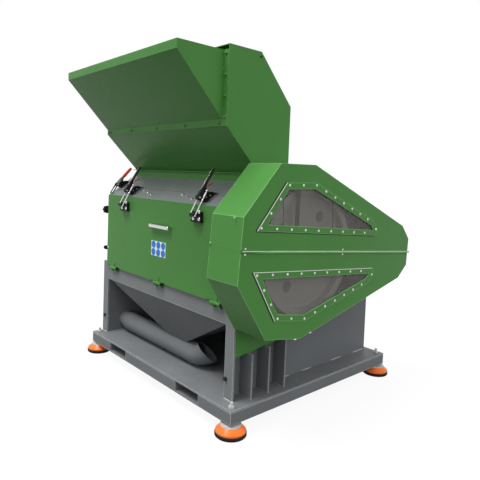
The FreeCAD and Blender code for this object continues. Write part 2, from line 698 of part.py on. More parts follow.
def build_drive():
    half = PULLEY_WIDTH / 2 + 6.0
    big = wheel(PULLEY_RADIUS, ROTOR_Y, ROTOR_Z, SHAFT_RADIUS)
    pocket = rod_x(PULLEY_RADIUS - PULLEY_RIM, ROTOR_Y, ROTOR_Z,
                   BELT_X + PULLEY_WEB / 2, BELT_X + half + 1.0)
    hub = rod_x(SHAFT_RADIUS + 60.0, ROTOR_Y, ROTOR_Z, BELT_X, BELT_X + half + 1.0)
    big = big.cut(pocket.cut(hub))
    for i in range(PULLEY_HOLES):
        turn = math.radians(360.0 * i / PULLEY_HOLES + PULLEY_HOLE_TURN)
        y = ROTOR_Y + PULLEY_HOLE_CIRCLE * math.cos(turn)
        z = ROTOR_Z + PULLEY_HOLE_CIRCLE * math.sin(turn)
        big = big.cut(rod_x(PULLEY_HOLE_RADIUS, y, z, BELT_X - half - 1.0, BELT_X + half + 1.0))
    save("rotor_pulley", big)

    inner = belt_outline(BELT_GAP)
    outer = belt_outline(BELT_GAP + BELT_SHEET)
    save("drive_belt", outer.cut(inner))

    motor_right = FRAME_RIGHT - 60.0
    motor_left = motor_right - MOTOR_LENGTH
    body = rod_x(MOTOR_RADIUS, MOTOR_Y, MOTOR_Z, motor_left, motor_right)
    bell = rod_x(MOTOR_RADIUS + MOTOR_BELL, MOTOR_Y, MOTOR_Z,
                 motor_left - MOTOR_BELL_LENGTH, motor_left)
    flange = rod_x(MOTOR_RADIUS + MOTOR_BELL, MOTOR_Y, MOTOR_Z, motor_right - 60.0, motor_right)
    foot_top = FRAME_TOP + CHAMBER_FLOOR + MOTOR_FOOT
    feet = []
    for x0 in (motor_left + 30.0, motor_right - 40.0 - MOTOR_FOOT_LENGTH):
        x1 = x0 + MOTOR_FOOT_LENGTH
        feet.append(block(x0, x1, MOTOR_Y - MOTOR_FOOT_REACH, MOTOR_Y + MOTOR_FOOT_REACH,
                          FRAME_TOP + CHAMBER_FLOOR, foot_top))
        feet.append(block(x0, x1, MOTOR_Y - MOTOR_STAND_REACH, MOTOR_Y + MOTOR_STAND_REACH,
                          foot_top, MOTOR_Z - MOTOR_RADIUS / 2))
    wide = MOTOR_BOX_WIDTH / 2
    box = block(motor_left + MOTOR_BOX_INSET, motor_right - MOTOR_BOX_INSET, MOTOR_Y - wide,
                MOTOR_Y + wide, MOTOR_Z, MOTOR_Z + MOTOR_RADIUS + MOTOR_BOX_HEIGHT)
    bore = rod_x(MOTOR_SHAFT_RADIUS + SHAFT_GAP, MOTOR_Y, MOTOR_Z, motor_right - MOTOR_BORE,
                 motor_right + 1.0)
    save("motor", fused([body, bell, flange, box] + feet).cut(bore))
    shaft = rod_x(MOTOR_SHAFT_RADIUS, MOTOR_Y, MOTOR_Z, motor_right - MOTOR_BORE + 5.0,
                  BELT_X + PULLEY_WIDTH / 2 + 6.0)
    small = wheel(MOTOR_PULLEY_RADIUS, MOTOR_Y, MOTOR_Z, MOTOR_SHAFT_RADIUS)
    save("motor_pulley", fused([small, shaft]))


def belt_outline(grow):
    """The belt's closed loop round both wheels, grown outwards by a distance."""
    r1 = PULLEY_RADIUS + grow
    r2 = MOTOR_PULLEY_RADIUS + grow
    span = math.hypot(MOTOR_Y - ROTOR_Y, MOTOR_Z - ROTOR_Z)
    line = math.atan2(MOTOR_Z - ROTOR_Z, MOTOR_Y - ROTOR_Y)
    open_angle = math.acos((r1 - r2) / span)
    half = PULLEY_WIDTH / 2
    tangents = []
    for sign in (1, -1):
        turn = line + sign * open_angle
        for (y, z), r in (((ROTOR_Y, ROTOR_Z), r1), ((MOTOR_Y, MOTOR_Z), r2)):
            tangents.append((y + r * math.cos(turn), z + r * math.sin(turn)))
    web = prism_x([tangents[0], tangents[1], tangents[3], tangents[2]],
                  BELT_X - half + 2.0, BELT_X + half - 2.0)
    big = rod_x(r1, ROTOR_Y, ROTOR_Z, BELT_X - half + 2.0, BELT_X + half - 2.0)
    small = rod_x(r2, MOTOR_Y, MOTOR_Z, BELT_X - half + 2.0, BELT_X + half - 2.0)
    return fused([web, big, small])


# Belt guard
def guard_point(back, up):
    """A (y, z) point of the guard, measured along and square to its split line."""
    tilt = math.radians(GUARD_TILT)
    y = GUARD_FRONT + back * math.cos(tilt) + up * math.sin(tilt)
    z = GUARD_SPLIT - back * math.sin(tilt) + up * math.cos(tilt)
    return y, z


def drawn_in(points, by):
    """A closed outline moved inwards by a distance, or outwards where it is negative."""
    area = sum(a * d - c * b for (a, b), (c, d) in zip(points, points[1:] + points[:1]))
    sign = 1.0 if area > 0 else -1.0
    lines = []
    for (a, b), (c, d) in zip(points, points[1:] + points[:1]):
        length = math.hypot(c - a, d - b)
        nx, ny = -sign * (d - b) / length, sign * (c - a) / length
        lines.append((a + nx * by, b + ny * by, c - a, d - b))
    result = []
    for (a, b, dx, dy), (c, d, ex, ey) in zip(lines[-1:] + lines[:-1], lines):
        t = ((c - a) * ey - (d - b) * ex) / (dx * ey - dy * ex)
        result.append((a + t * dx, b + t * dy))
    return result


def guard_half(side, by, low):
    """Half the guard's outline drawn in by a distance, cut at a height from the split."""
    upper = [
        (0.0, GUARD_NOSE),
        (GUARD_RISE_AT, GUARD_RISE),
        (GUARD_CREST_AT, GUARD_CREST),
        (GUARD_FALL_AT, GUARD_FALL),
        (GUARD_TAIL_AT, GUARD_TAIL),
    ]
    mirrored = [(back, -up) for back, up in reversed(upper)]
    whole = drawn_in(upper + mirrored, by)[:len(upper)]
    outline = [(whole[0][0], low)] + whole + [(whole[-1][0], low)]
    return [guard_point(back, side * up) for back, up in outline]


def window_outline(side, by):
    """The corners of a window on one side of the split, drawn in by a distance."""
    tail = WINDOW_TAIL - WINDOW_LOW
    lean = (WINDOW_TAIL_AT - WINDOW_FALL_AT) / (WINDOW_FALL - WINDOW_TAIL)
    outline = [
        (WINDOW_NEAR_AT, WINDOW_LOW),
        (WINDOW_RISE_AT, WINDOW_HIGH),
        (WINDOW_PEAK_AT, WINDOW_PEAK),
        (WINDOW_FALL_AT, WINDOW_FALL),
    ]
    if by:
        outline = drawn_in(outline + [(WINDOW_TAIL_AT + tail * lean, WINDOW_LOW)], by)
    else:
        outline += [(WINDOW_TAIL_AT, WINDOW_TAIL), (WINDOW_TAIL_AT - WINDOW_CLIP, WINDOW_LOW)]
    return [guard_point(back, side * up) for back, up in outline]


def build_guard():
    frames = []
    panes = []
    for side, name in ((1, "guard_upper"), (-1, "guard_lower")):
        split = SPLIT_GAP / 2
        shell = prism_x(guard_half(side, 0, split), GUARD_INNER, GUARD_OUTER)
        hollow = prism_x(guard_half(side, GUARD_SHEET, -1.0), GUARD_INNER - 1.0,
                         GUARD_OUTER - GUARD_SHEET)
        window = prism_x(window_outline(side, WINDOW_STRIP), GUARD_OUTER - 2 * GUARD_SHEET,
                         GUARD_OUTER + 2 * WINDOW_FRAME_SHEET)
        lip = [(SPLIT_LIP_START, split), (SPLIT_LIP_START, split + SPLIT_LIP_SHEET),
               (GUARD_TAIL_AT + SPLIT_LIP, split + SPLIT_LIP_SHEET),
               (GUARD_TAIL_AT + SPLIT_LIP, split)]
        lip = prism_x([guard_point(a, side * b) for a, b in lip], GUARD_INNER,
                      GUARD_OUTER + SPLIT_LIP)
        save(name, shell.fuse(lip).cut(hollow).cut(window).removeSplitter())
        frame = prism_x(window_outline(side, 0), GUARD_OUTER, GUARD_OUTER + WINDOW_FRAME_SHEET)
        frames.append(frame.cut(window))
        panes.append(prism_x(window_outline(side, WINDOW_STRIP - PANE_LAP),
                             GUARD_OUTER - GUARD_SHEET - PANE_SHEET, GUARD_OUTER - GUARD_SHEET))
    save("window_frames", *frames)
    save("window_panes", *panes)

    inner = GUARD_SHEET + 0.3
    upper = guard_half(1, inner, 0.0)
    lower = guard_half(-1, inner, 0.0)
    outline = upper[1:-1] + lower[-2:0:-1]
    plate = prism_x(outline, GUARD_INNER, GUARD_INNER + GUARD_SHEET)
    for y, z, radius in ((ROTOR_Y, ROTOR_Z, BEARING_RADIUS + 1.0),
                         (MOTOR_Y, MOTOR_Z, MOTOR_SHAFT_RADIUS + 10.0)):
        plate = plate.cut(rod_x(radius, y, z, GUARD_INNER - 1.0, GUARD_INNER + GUARD_SHEET + 1.0))
    save("guard_back_plate", plate)


# Front door
def hinge_places():
    """The middle of each door hinge along X."""
    return [HINGE_MIDDLE + i * HINGE_SPACING for i in (-1, 0, 1)]


def build_door():
    slab = block(DOOR_LEFT, DOOR_RIGHT, DOOR_FRONT, DOOR_BACK, DOOR_BOTTOM, CHAMBER_TOP_FRONT)
    tray = block(DOOR_LEFT + DOOR_SHEET, DOOR_RIGHT - DOOR_SHEET, DOOR_FRONT + DOOR_SHEET,
                 DOOR_BACK + 1.0, DOOR_BOTTOM + DOOR_SHEET, CHAMBER_TOP_FRONT - DOOR_SHEET)
    slab = slab.cut(tray)
    pitch = (DOOR_RIGHT - DOOR_LEFT) / (DOOR_STIFFENERS + 1)
    for i in range(DOOR_STIFFENERS):
        x = DOOR_LEFT + (i + 1) * pitch
        slab = slab.fuse(block(x - 25.0, x + 25.0, DOOR_FRONT + DOOR_SHEET, DOOR_BACK - 4.0,
                               DOOR_BOTTOM + DOOR_SHEET, CHAMBER_TOP_FRONT - DOOR_SHEET))
    third = HINGE_LENGTH / 3
    pins = []
    for x in hinge_places():
        clear = rod_x(HINGE_BARREL_RADIUS + 1.0, HINGE_Y, HINGE_Z, x - HINGE_LENGTH, x + HINGE_LENGTH)
        slab = slab.cut(clear)
        knuckle = rod_x(HINGE_BARREL_RADIUS, HINGE_Y, HINGE_Z, x - third / 2, x + third / 2)
        leaf = block(x - third / 2, x + third / 2, DOOR_FRONT - 4.0, DOOR_FRONT,
                     HINGE_Z, DOOR_BOTTOM + 40.0)
        bore = rod_x(HINGE_PIN_RADIUS + HINGE_GAP, HINGE_Y, HINGE_Z, x - third, x + third)
        slab = slab.fuse([knuckle, leaf]).cut(bore)
        pin = rod_x(HINGE_PIN_RADIUS, HINGE_Y, HINGE_Z, x - 1.5 * third, x + 1.5 * third)
        outer = []
        for x0 in (x - 1.5 * third, x + third / 2 + 0.5):
            x1 = x0 + third - 0.5
            outer.append(rod_x(HINGE_BARREL_RADIUS, HINGE_Y, HINGE_Z, x0, x1))
            outer.append(block(x0, x1, HINGE_Y, FRAME_FRONT, HINGE_Z - 26.0, HINGE_Z - 6.0))
        pins.append(fused([pin] + outer))
    save("door", slab.removeSplitter())
    save("door_hinges", *pins)

    half = HANDLE_LENGTH / 2
    bar = block(HANDLE_MIDDLE - half, HANDLE_MIDDLE + half, DOOR_FRONT - HANDLE_REACH,
                DOOR_FRONT - HANDLE_REACH + 10.0, HANDLE_LEVEL - 13.0, HANDLE_LEVEL + 13.0)
    feet = []
    for x in (HANDLE_MIDDLE - half, HANDLE_MIDDLE + half - 22.0):
        feet.append(block(x, x + 22.0, DOOR_FRONT - HANDLE_REACH, DOOR_FRONT,
                          HANDLE_LEVEL - 13.0, HANDLE_LEVEL + 13.0))
    grip = fused([bar] + feet)
    edges = [e for e in grip.Edges if e.BoundBox.XLength > HANDLE_LENGTH - 1.0]
    save("door_handle", grip.makeFillet(4.0, edges))


# Latch clamps
def clamp_point(along, above, scale, shift):
    """A (y, z) point on a clamp of a given scale that sits a shift up the slope."""
    return slope_point(along * scale + shift, above * scale)


def clamp_base(x, scale, shift):
    """A base plate on the slope with two ears that hold the lever's pin."""
    wide = CLAMP_BASE_WIDTH * scale / 2
    start = CLAMP_BASE_START
    end = start + CLAMP_BASE_LENGTH
    sheet = CLAMP_BASE_SHEET
    head = EAR_HEAD
    plate = [(start, 0), (start, sheet), (end, sheet), (end, 0)]
    ear = [
        (start, sheet),
        (PIVOT_ALONG - head, PIVOT_ABOVE - head),
        (PIVOT_ALONG - head, PIVOT_ABOVE + 0.5 * head),
        (PIVOT_ALONG - 0.4 * head, PIVOT_ABOVE + head),
        (PIVOT_ALONG + head, PIVOT_ABOVE + head),
        (end - 18.0, 26.0),
        (end - 6.0, sheet),
    ]
    pieces = [prism_x([clamp_point(a, b, scale, shift) for a, b in plate], x - wide, x + wide)]
    inside = LEVER_WIDTH * scale / 2 + EAR_GAP
    sheet = EAR_SHEET * scale
    for x0 in (x - inside - sheet, x + inside):
        pieces.append(prism_x([clamp_point(a, b, scale, shift) for a, b in ear], x0, x0 + sheet))
    y, z = clamp_point(PIVOT_ALONG, PIVOT_ABOVE, scale, shift)
    pieces.append(rod_x(PIVOT_RADIUS * scale, y, z, x - inside - sheet, x + inside + sheet))
    return fused(pieces)


def clamp_lever(x, scale, shift, angle):
    """The lever: a channel with deep cheeks at its pin, drawn out to a long grip."""
    y, z = clamp_point(PIVOT_ALONG, PIVOT_ABOVE, scale, shift)
    half = LEVER_WIDTH * scale / 2
    cheek = LEVER_CHEEK
    length = LEVER_LENGTH
    heel = [(-11.0, -6.0), (-6.0, -11.0), (0.45 * cheek, -25.0), (cheek, -25.0),
            (1.5 * cheek, -8.0), (1.5 * cheek, 8.0), (-6.0, 11.0), (-11.0, 6.0)]
    shank = [(1.4 * cheek, -6.0), (length, -4.5), (length, 4.5), (1.4 * cheek, 6.0)]
    turn = math.radians(angle)

    def placed(outline):
        return [(y + scale * (a * math.cos(turn) - b * math.sin(turn)),
                 z + scale * (a * math.sin(turn) + b * math.cos(turn))) for a, b in outline]

    body = prism_x(placed(heel), x - half, x + half)
    grip = prism_x(placed(shank), x - 0.7 * half, x + 0.7 * half)
    bore = rod_x(PIVOT_RADIUS * scale + PIVOT_GAP, y, z, x - LEVER_WIDTH, x + LEVER_WIDTH)
    return fused([body, grip]).cut(bore)


def red_hook():
    """The red clamp's pair of rods with a cross bar, from its pin down to the slope's edge."""
    y, z = clamp_point(PIVOT_ALONG, PIVOT_ABOVE, RED_CLAMP_SCALE, RED_CLAMP_SHIFT)
    turn = math.radians(RED_HOOK_ANGLE)
    drop = V(0, -math.cos(turn), -math.sin(turn))
    half = RED_HOOK_SPACING / 2
    pieces = []
    for x in (RED_CLAMP_X - half, RED_CLAMP_X + half):
        top = V(x, y, z)
        pieces.append(rod_between(ROD_RADIUS, top, top + drop * RED_HOOK_LENGTH))
        pieces.append(rod_between(ROD_RADIUS + 1.2, top, top + drop * ROD_SLEEVE))
        pieces.append(Part.makeSphere(ROD_RADIUS + 1.2, top))
        pieces.append(Part.makeSphere(ROD_RADIUS, top + drop * RED_HOOK_LENGTH))
    low = V(0, y, z) + drop * RED_HOOK_LENGTH
    pieces.append(rod_x(ROD_RADIUS, low.y, low.z, RED_CLAMP_X - half, RED_CLAMP_X + half))
    pin = PIVOT_RADIUS * RED_CLAMP_SCALE
    pieces.append(rod_x(pin, y, z, RED_CLAMP_X - half, RED_CLAMP_X - half + 7.0))
    pieces.append(rod_x(pin, y, z, RED_CLAMP_X + half - 7.0, RED_CLAMP_X + half))
    return pieces


def clamp_loop(x):
    """The draw loop: a cross bar under the catch's nose and two rods up past the lever."""
    turn = math.radians(ROD_ANGLE)
    y0 = DOOR_FRONT - LOOP_FORWARD
    reach = V(0, math.cos(turn), math.sin(turn))
    half = ROD_SPACING / 2
    pieces = [rod_x(ROD_RADIUS, y0, LOOP_LEVEL, x - half, x + half)]
    for x0 in (x - half, x + half):
        low = V(x0, y0, LOOP_LEVEL)
        high = low + reach * ROD_LENGTH
        pieces.append(rod_between(ROD_RADIUS, low, high))
        pieces.append(Part.makeSphere(ROD_RADIUS, low))
        pieces.append(rod_between(ROD_RADIUS + 3.0, high - reach * ROD_SLEEVE, high))
    return fused(pieces)


def door_catch(x):
    """The catch on the door: a block with a hooked nose over the loop's cross bar."""
    wide = CATCH_WIDTH / 2
    nose = CATCH_NOSE / 2
    bar = DOOR_FRONT - LOOP_FORWARD
    seat = LOOP_LEVEL + ROD_RADIUS + 0.3
    face = DOOR_FRONT - CATCH_DEPTH
    front = bar - ROD_RADIUS - 0.6
    body = block(x - wide, x + wide, face, DOOR_FRONT, CATCH_TOP - CATCH_HEIGHT, CATCH_TOP)
    hook = [
        (face, seat),
        (face, CATCH_TOP - 4.0),
        (front - 4.0, seat + 13.0),
        (front - 7.0, seat - 9.0),
        (front, seat - 9.0),
        (front, seat),
    ]
    return fused([body, prism_x(hook, x - nose, x + nose)])


def build_clamps():
    main = (CLAMP_LEFT, CLAMP_RIGHT)
    red = (RED_CLAMP_X, RED_CLAMP_SCALE, RED_CLAMP_SHIFT)
    save("clamp_bases", *[clamp_base(x, 1.0, 0.0) for x in main],
         fused([clamp_base(*red)] + red_hook()))
    save("clamp_lever_left", clamp_lever(CLAMP_LEFT, 1.0, 0.0, LEVER_ANGLE))
    save("clamp_lever_right", clamp_lever(CLAMP_RIGHT, 1.0, 0.0, LEVER_ANGLE))
    save("red_clamp_lever", clamp_lever(*red, RED_LEVER_ANGLE))
    save("clamp_loops", *[clamp_loop(x) for x in main])
    save("door_catches", *[door_catch(x) for x in main])


def build_knobs():
    y = (DOOR_FRONT + DOOR_BACK) / 2
    near = DOOR_LEFT - KNOB_STEM
    star = rod_x(STAR_RADIUS, y, STAR_LEVEL, near - STAR_DEPTH, near)
    for i in range(STAR_LOBES):
        turn = 2 * math.pi * i / STAR_LOBES
        star = star.cut(rod_x(8.0, y + (STAR_RADIUS + 2.0) * math.cos(turn),
                              STAR_LEVEL + (STAR_RADIUS + 2.0) * math.sin(turn),
                              near - STAR_DEPTH - 1.0, near + 1.0))
    plain = rod_x(PLAIN_RADIUS, y, PLAIN_LEVEL, near - PLAIN_DEPTH, near)
    knobs = []
    for body, z in ((star, STAR_LEVEL), (plain, PLAIN_LEVEL)):
        knobs.append(fused([rod_x(KNOB_STEM_RADIUS, y, z, near, DOOR_LEFT), body]))
    save("star_knobs", *knobs)


# Hopper
def folded(points, sheet, x0, x1):
    """A sheet folded along a line of (y, z) points, its thickness to the right of travel."""
    lines = []
    for (a, b), (c, d) in zip(points[:-1], points[1:]):
        length = math.hypot(c - a, d - b)
        nx, ny = (d - b) / length, -(c - a) / length
        lines.append((a + nx * sheet, b + ny * sheet, c - a, d - b))
    inner = [lines[0][:2]]
    for (a, b, dx, dy), (c, d, ex, ey) in zip(lines[:-1], lines[1:]):
        t = ((c - a) * ey - (d - b) * ex) / (dx * ey - dy * ex)
        inner.append((a + t * dx, b + t * dy))
    a, b, dx, dy = lines[-1]
    inner.append((a + dx, b + dy))
    return prism_x(points + inner[::-1], x0, x1)


def build_hopper():
    s = HOPPER_SHEET
    band = block(HOPPER_LEFT, HOPPER_RIGHT, THROAT_FRONT, ROOF_BACK, THROAT_LEVEL, BAND_TOP)
    band = band.cut(block(HOPPER_LEFT + s, HOPPER_RIGHT - s, THROAT_FRONT + s, ROOF_BACK - s,
                          THROAT_LEVEL - 1.0, BAND_TOP + 1.0))
    ledge = block(HOPPER_LEFT - BAND_FLANGE, HOPPER_RIGHT + BAND_FLANGE, THROAT_FRONT - BAND_FLANGE,
                  ROOF_BACK + BAND_FLANGE, BAND_TOP - s, BAND_TOP)
    ledge = ledge.cut(block(HOPPER_LEFT + s, HOPPER_RIGHT - s, THROAT_FRONT + s, ROOF_BACK - s,
                            BAND_TOP - 2 * s, BAND_TOP + 1.0))
    save("hopper_base_band", fused([band, ledge]))

    side = [(THROAT_FRONT, BAND_TOP), (MOUTH_FRONT, MOUTH_BOTTOM), (MOUTH_FRONT, HOPPER_TOP),
            (ROOF_FRONT, HOPPER_TOP), (ROOF_BACK, ROOF_EAVES), (ROOF_BACK, BAND_TOP)]
    save("hopper_sides", prism_x(side, HOPPER_LEFT, HOPPER_LEFT + s),
         prism_x(side, HOPPER_RIGHT - s, HOPPER_RIGHT))
    x0 = HOPPER_LEFT + s
    x1 = HOPPER_RIGHT - s
    save("hopper_front_and_roof", folded([side[0], side[1]], s, x0, x1),
         folded(side[2:], s, x0, x1))

    left = HOPPER_LEFT
    right = HOOD_RIGHT
    foot = MOUTH_BOTTOM + HOOD_FLANGE - 1.4 * s
    hood = [(MOUTH_FRONT, foot), (HOOD_LIP, HOOD_TOP - HOOD_LIP_HEIGHT),
            (HOOD_LIP, HOOD_TOP)]
    pieces = [folded(hood, s, left, right)]
    outline = hood + [(MOUTH_FRONT, HOOD_TOP)]
    for x0 in (left, right - s):
        pieces.append(prism_x(outline, x0, x0 + s))
    flange = block(HOPPER_LEFT, HOPPER_RIGHT, MOUTH_FRONT - s, MOUTH_FRONT,
                   MOUTH_BOTTOM, HOOD_TOP)
    hole = block(left, right, MOUTH_FRONT - 2 * s, MOUTH_FRONT + s,
                 MOUTH_BOTTOM + HOOD_FLANGE, HOPPER_TOP)
    pieces.append(flange.cut(hole))
    behind = block(left - 1.0, HOPPER_RIGHT + 1.0, MOUTH_FRONT, MOUTH_FRONT + 4 * s,
                   MOUTH_BOTTOM - 1.0, HOPPER_TOP)
    save("hopper_hood", fused(pieces).cut(behind))


build_platform()
build_feet()
build_frame()
build_discharge()
build_chamber()
build_rotor()
build_drive()
build_guard()
build_door()
build_clamps()
build_knobs()
build_hopper()
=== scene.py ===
# The plastic granulator dressed for its picture: paint, steel, rubber and windows on the
# CAD nodes, and the small fasteners, welds, plates and clamp fittings that go with them.
import math
import random
import bmesh
import bpy
from mathutils import Matrix, Vector
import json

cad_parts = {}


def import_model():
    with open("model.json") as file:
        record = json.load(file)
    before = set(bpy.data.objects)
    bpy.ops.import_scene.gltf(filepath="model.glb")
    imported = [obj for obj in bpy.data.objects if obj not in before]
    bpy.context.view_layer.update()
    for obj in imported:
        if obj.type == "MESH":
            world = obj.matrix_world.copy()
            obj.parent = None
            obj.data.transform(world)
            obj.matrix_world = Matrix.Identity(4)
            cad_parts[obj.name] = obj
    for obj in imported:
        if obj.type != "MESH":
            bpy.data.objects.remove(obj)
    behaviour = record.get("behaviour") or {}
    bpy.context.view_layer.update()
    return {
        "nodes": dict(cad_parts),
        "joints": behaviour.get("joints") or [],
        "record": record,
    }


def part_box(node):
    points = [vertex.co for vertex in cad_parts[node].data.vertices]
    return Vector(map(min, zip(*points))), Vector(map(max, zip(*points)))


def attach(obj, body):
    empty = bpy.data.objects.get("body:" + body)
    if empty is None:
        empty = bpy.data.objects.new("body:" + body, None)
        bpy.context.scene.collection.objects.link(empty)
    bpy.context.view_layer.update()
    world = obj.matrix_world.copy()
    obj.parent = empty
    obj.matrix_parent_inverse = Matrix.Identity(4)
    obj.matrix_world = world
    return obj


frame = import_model()
nodes = frame["nodes"]
dice = random.Random(4)

# Places are in working millimetres: x = 0 at the middle of the platform, y = 0 at its front
# edge and z = 0 on the floor. The faces and axes that pieces sit on are read from the frame.
X, Y, Z = 0, 1, 2
LOW, HIGH = 0, 1
TO_RIGHT, TO_LEFT = (1, 0, 0), (-1, 0, 0)
TO_FRONT, TO_BACK = (0, -1, 0), (0, 1, 0)
UPWARD, DOWNWARD = (0, 0, 1), (0, 0, -1)
deck_low, deck_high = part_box("base_deck")
ORIGIN = (round(-500 * (deck_low[X] + deck_high[X]), 2), round(-1000 * deck_low[Y], 2), 0.0)


def face_of(node, axis, end):
    """How far a node reaches along an axis at one end, in working millimetres."""
    return round(1000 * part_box(node)[end][axis] + ORIGIN[axis], 2)


def axis_of(joint):
    """The (y, z) place of a joint's axis, in working millimetres."""
    place = next(j["pos_m"] for j in frame["joints"] if j["name"] == joint)
    return tuple(round(1000 * place[i] + ORIGIN[i], 2) for i in (Y, Z))


def at(x, y, z):
    """A place in working millimetres, as a point of the frame in metres."""
    return Vector(((x - ORIGIN[X]) / 1000, (y - ORIGIN[Y]) / 1000, z / 1000))


# Platform, front and door
BASE_TOP = face_of("base_deck", Z, HIGH)
POST_FACE = face_of("front_frame", Y, LOW)
DOOR_FACE = face_of("door_handle", Y, HIGH)
POST_BOLTS = ((-854, 302), (746, 289))
DOOR_SCREWS = ((-793, 899),)
HANDLE_FACE = face_of("door_handle", Y, LOW)
HANDLE_LEVEL = 1155.0
# The handle's sections: (x, share of the full section)
HANDLE_STATIONS = ((-113, 0.5), (-108, 0.85), (-98, 1.0), (120, 1.0), (130, 0.85), (135, 0.5))
HANDLE_BULGE = 6.5
HANDLE_HALF_HEIGHT = 12.5
HANDLE_LAP = 0.5
HINGE = axis_of("door_swing")
HINGE_XS = (-687, -20, 647)
HINGE_HALF = 48
LABEL_LEFT, LABEL_RIGHT = -116, 71
LABEL_LOW, LABEL_HIGH = 934, 1043
LABEL_SHEET = 1.2
LABEL_ROWS, LABEL_COLUMNS = 2, 3
DISC_RADIUS = 26.5
DISC_SHEET = 0.4
WELD_SIZE = 4.5
POST_WELD_Y = 87
POST_WELDS = ((734, 805), (-891, -820))
WALL_WELD_X = 742
WALL_WELDS = ((560, 680), (812, 917), (1144, 1281), (1431, 1580))

# Belt guard: places on its side are (back, up), along and square to its split line, and a
# third number is how far out they stand from it
GUARD_SIDE = face_of("window_frames", X, LOW)
STRIP_SHEET = face_of("window_frames", X, HIGH) - GUARD_SIDE
GUARD_NOSE_FACE = -127.0
GUARD_SPLIT = 1139.0
GUARD_TILT = math.radians(4.33)
WINDOW_SCREWS = ((135, 130), (333, 384), (574, 405), (1153, 224), (1266, 159))
WINDOW_SCREWS_END = (1130, 131)
SPLIT_SCREWS = (33, 905)
SPLIT_SCREW_OFF = 14
NOSE_SCREWS = ((1012, 1314), (814, 1153))
FOOT_SCREWS = ((543, -531, -30), (654, -497, -9))
FOOT_SCREW_LENGTH = 14
FOOT_SCREW_FLATS = 16
# Strips on the side: (start, end, width, thickness)
# Bright zinc strips on the window strips' outer edges: painted highlights where light catches
# those edges.
WINDOW_EDGE_HIGHLIGHTS = (((105, 112), (309, 395), 4.5, 1.5), ((105, -112), (309, -395), 4.5, 1.5),
                ((108, -114), (1262, -114), 3.5, 1.2))
# Black strips in the gaps under and beside the window strips: painted shade.
WINDOW_SHADE_LINES = (((99, 113), (303, 398), 5.0, 3.0), ((99, -113), (303, -398), 5.0, 3.0),
                ((104, 110.5), (1264, 110.5), 4.5, 3.0))
SPLIT_LIP = 11
# A pale green strip on the split lip's top: a painted highlight.
SPLIT_LIP_HIGHLIGHT = (((5, 4), (1722, 4), 5.5, 1.0),)
STRIP_SECTION = ((-0.5, 0), (-0.5, 0.6), (-0.3, 1), (0.3, 1), (0.5, 0.6), (0.5, 0))
INSIDE_OUTS = (-30, -28)
INSIDE_SHAPES = {
    "stay": ((429, 382), (469, 386), (483, 139), (446, 137)),
    "corner plate": ((965, -153), (1246, -156), (1284, -175), (1169, -208)),
    "front seam": ((322, 296), (327, 296), (351, 147), (346, 147)),
    "middle seam": ((785, 328), (791, 328), (817, 149), (811, 149)),
    "rear seam": ((1116, 226), (1123, 226), (1140, 144), (1133, 144)),
}
# Inside the back plate's thickness, where its pale side, which is painted light, begins
BACKING_TURN = 812.0

# Hopper; a run of bolts is (first, last, spaces between them)
HOPPER_SHEET = 5.0
HOPPER_RIGHT = face_of("hopper_sides", X, HIGH)
MOUTH_FACE = face_of("hopper_hood", Y, HIGH) - HOPPER_SHEET
FLANGE_SIDE_X = 711
FLANGE_SIDE_RUN = (1886, 2265, 3)
FLANGE_LOW_Z = 1857
FLANGE_LOW_RUN = (667, -735, 4)
HOPPER_PLUG = (297, 2289)

# Left side and back
CHAMBER_LEFT = face_of("chamber_ends", X, LOW)
CHAMBER_BACK = face_of("chamber_back", Y, HIGH)
BEARING_LEFT = face_of("bearing_housings", X, LOW)
ROTOR_Y, ROTOR_Z = axis_of("rotor_spin")
BEARING_BOLTS = 6
BEARING_BOLT_CIRCLE = 103
END_BOLTS_Y = 880
END_BOLTS_RUN = (820, 1290, 4)
BACK_BOLTS_Z = 1312
BACK_BOLTS_RUN = (-800, 770, 6)
MOTOR_Y, MOTOR_Z = axis_of("motor_spin")
MOTOR_LEFT = face_of("motor", X, LOW)
MOTOR_TOP = face_of("motor", Z, HIGH)
MOTOR_FOOT_TOP = 810
FIN_TURNS = (*range(-24, 63, 8), *range(120, 207, 8))
FIN_SECTION = ((212, 2.5), (225, 1.6), (226.5, 0.8))
FIN_ENDS = (136, 682)
GRILLE_RADII = (50, 85, 120, 155, 190)
GRILLE_HALF = 3
GRILLE_SHOULDER, GRILLE_HEIGHT = 2.5, 4
BOX_SCREW_XS, BOX_SCREW_YS = (335, 543), (1275, 1423)
MOTOR_BOLT_XS, MOTOR_BOLT_YS = (204, 664), (1135, 1563)

# Sloping top and its latch clamps; a lever is its pin's (y, z) place and its turn
SLOPE_FRONT = (88.0, 1343.0)
SLOPE_BACK = (311.0, 1501.0)
SLOPE = math.atan2(SLOPE_BACK[1] - SLOPE_FRONT[1], SLOPE_BACK[0] - SLOPE_FRONT[0])
SLOPE_NORMAL = (0, -math.sin(SLOPE), math.cos(SLOPE))
SLOPE_BOLT_STARTS = (-369, 141)
SLOPE_BOLTS = 3
SLOPE_BOLT_STEP = 75
SLOPE_BOLT_ALONG = 81
SLOPE_BOLT_DROP = 19
CLAMP_XS = (-502.0, 441.0)
CLAMP_PIN = (61.9, 1391.9)
CLAMP_LEVER = (CLAMP_PIN, math.radians(56.0))
CLAMP_HALF = 16
CLAMP_RIVETS = ((52, 22), (86, 14))
CLAMP_SHEET = 6
CLAMP_BOLT_OFF = 42
CLAMP_BOLT_ALONGS = (42, 116)
CATCH_DEPTH = 25
CATCH_BOLTS = ((-24, 1253), (38, 1253), (36, 1299))
ROD_HALF_SPACING = 29
ROD_TURN = math.radians(61.0)
ROD_FORWARD = 51.0
ROD_LOW = 1272.0
RED_CLAMP_X = -784.0
RED_PIN = (130.9, 1431.3)
RED_LEVER = (RED_PIN, math.radians(46.5))
RED_HALF = 25
RED_PLATE_OFF = 12
BLACK_HALF_WIDTH = 38
RED_BLACK_HALF_WIDTH = 34

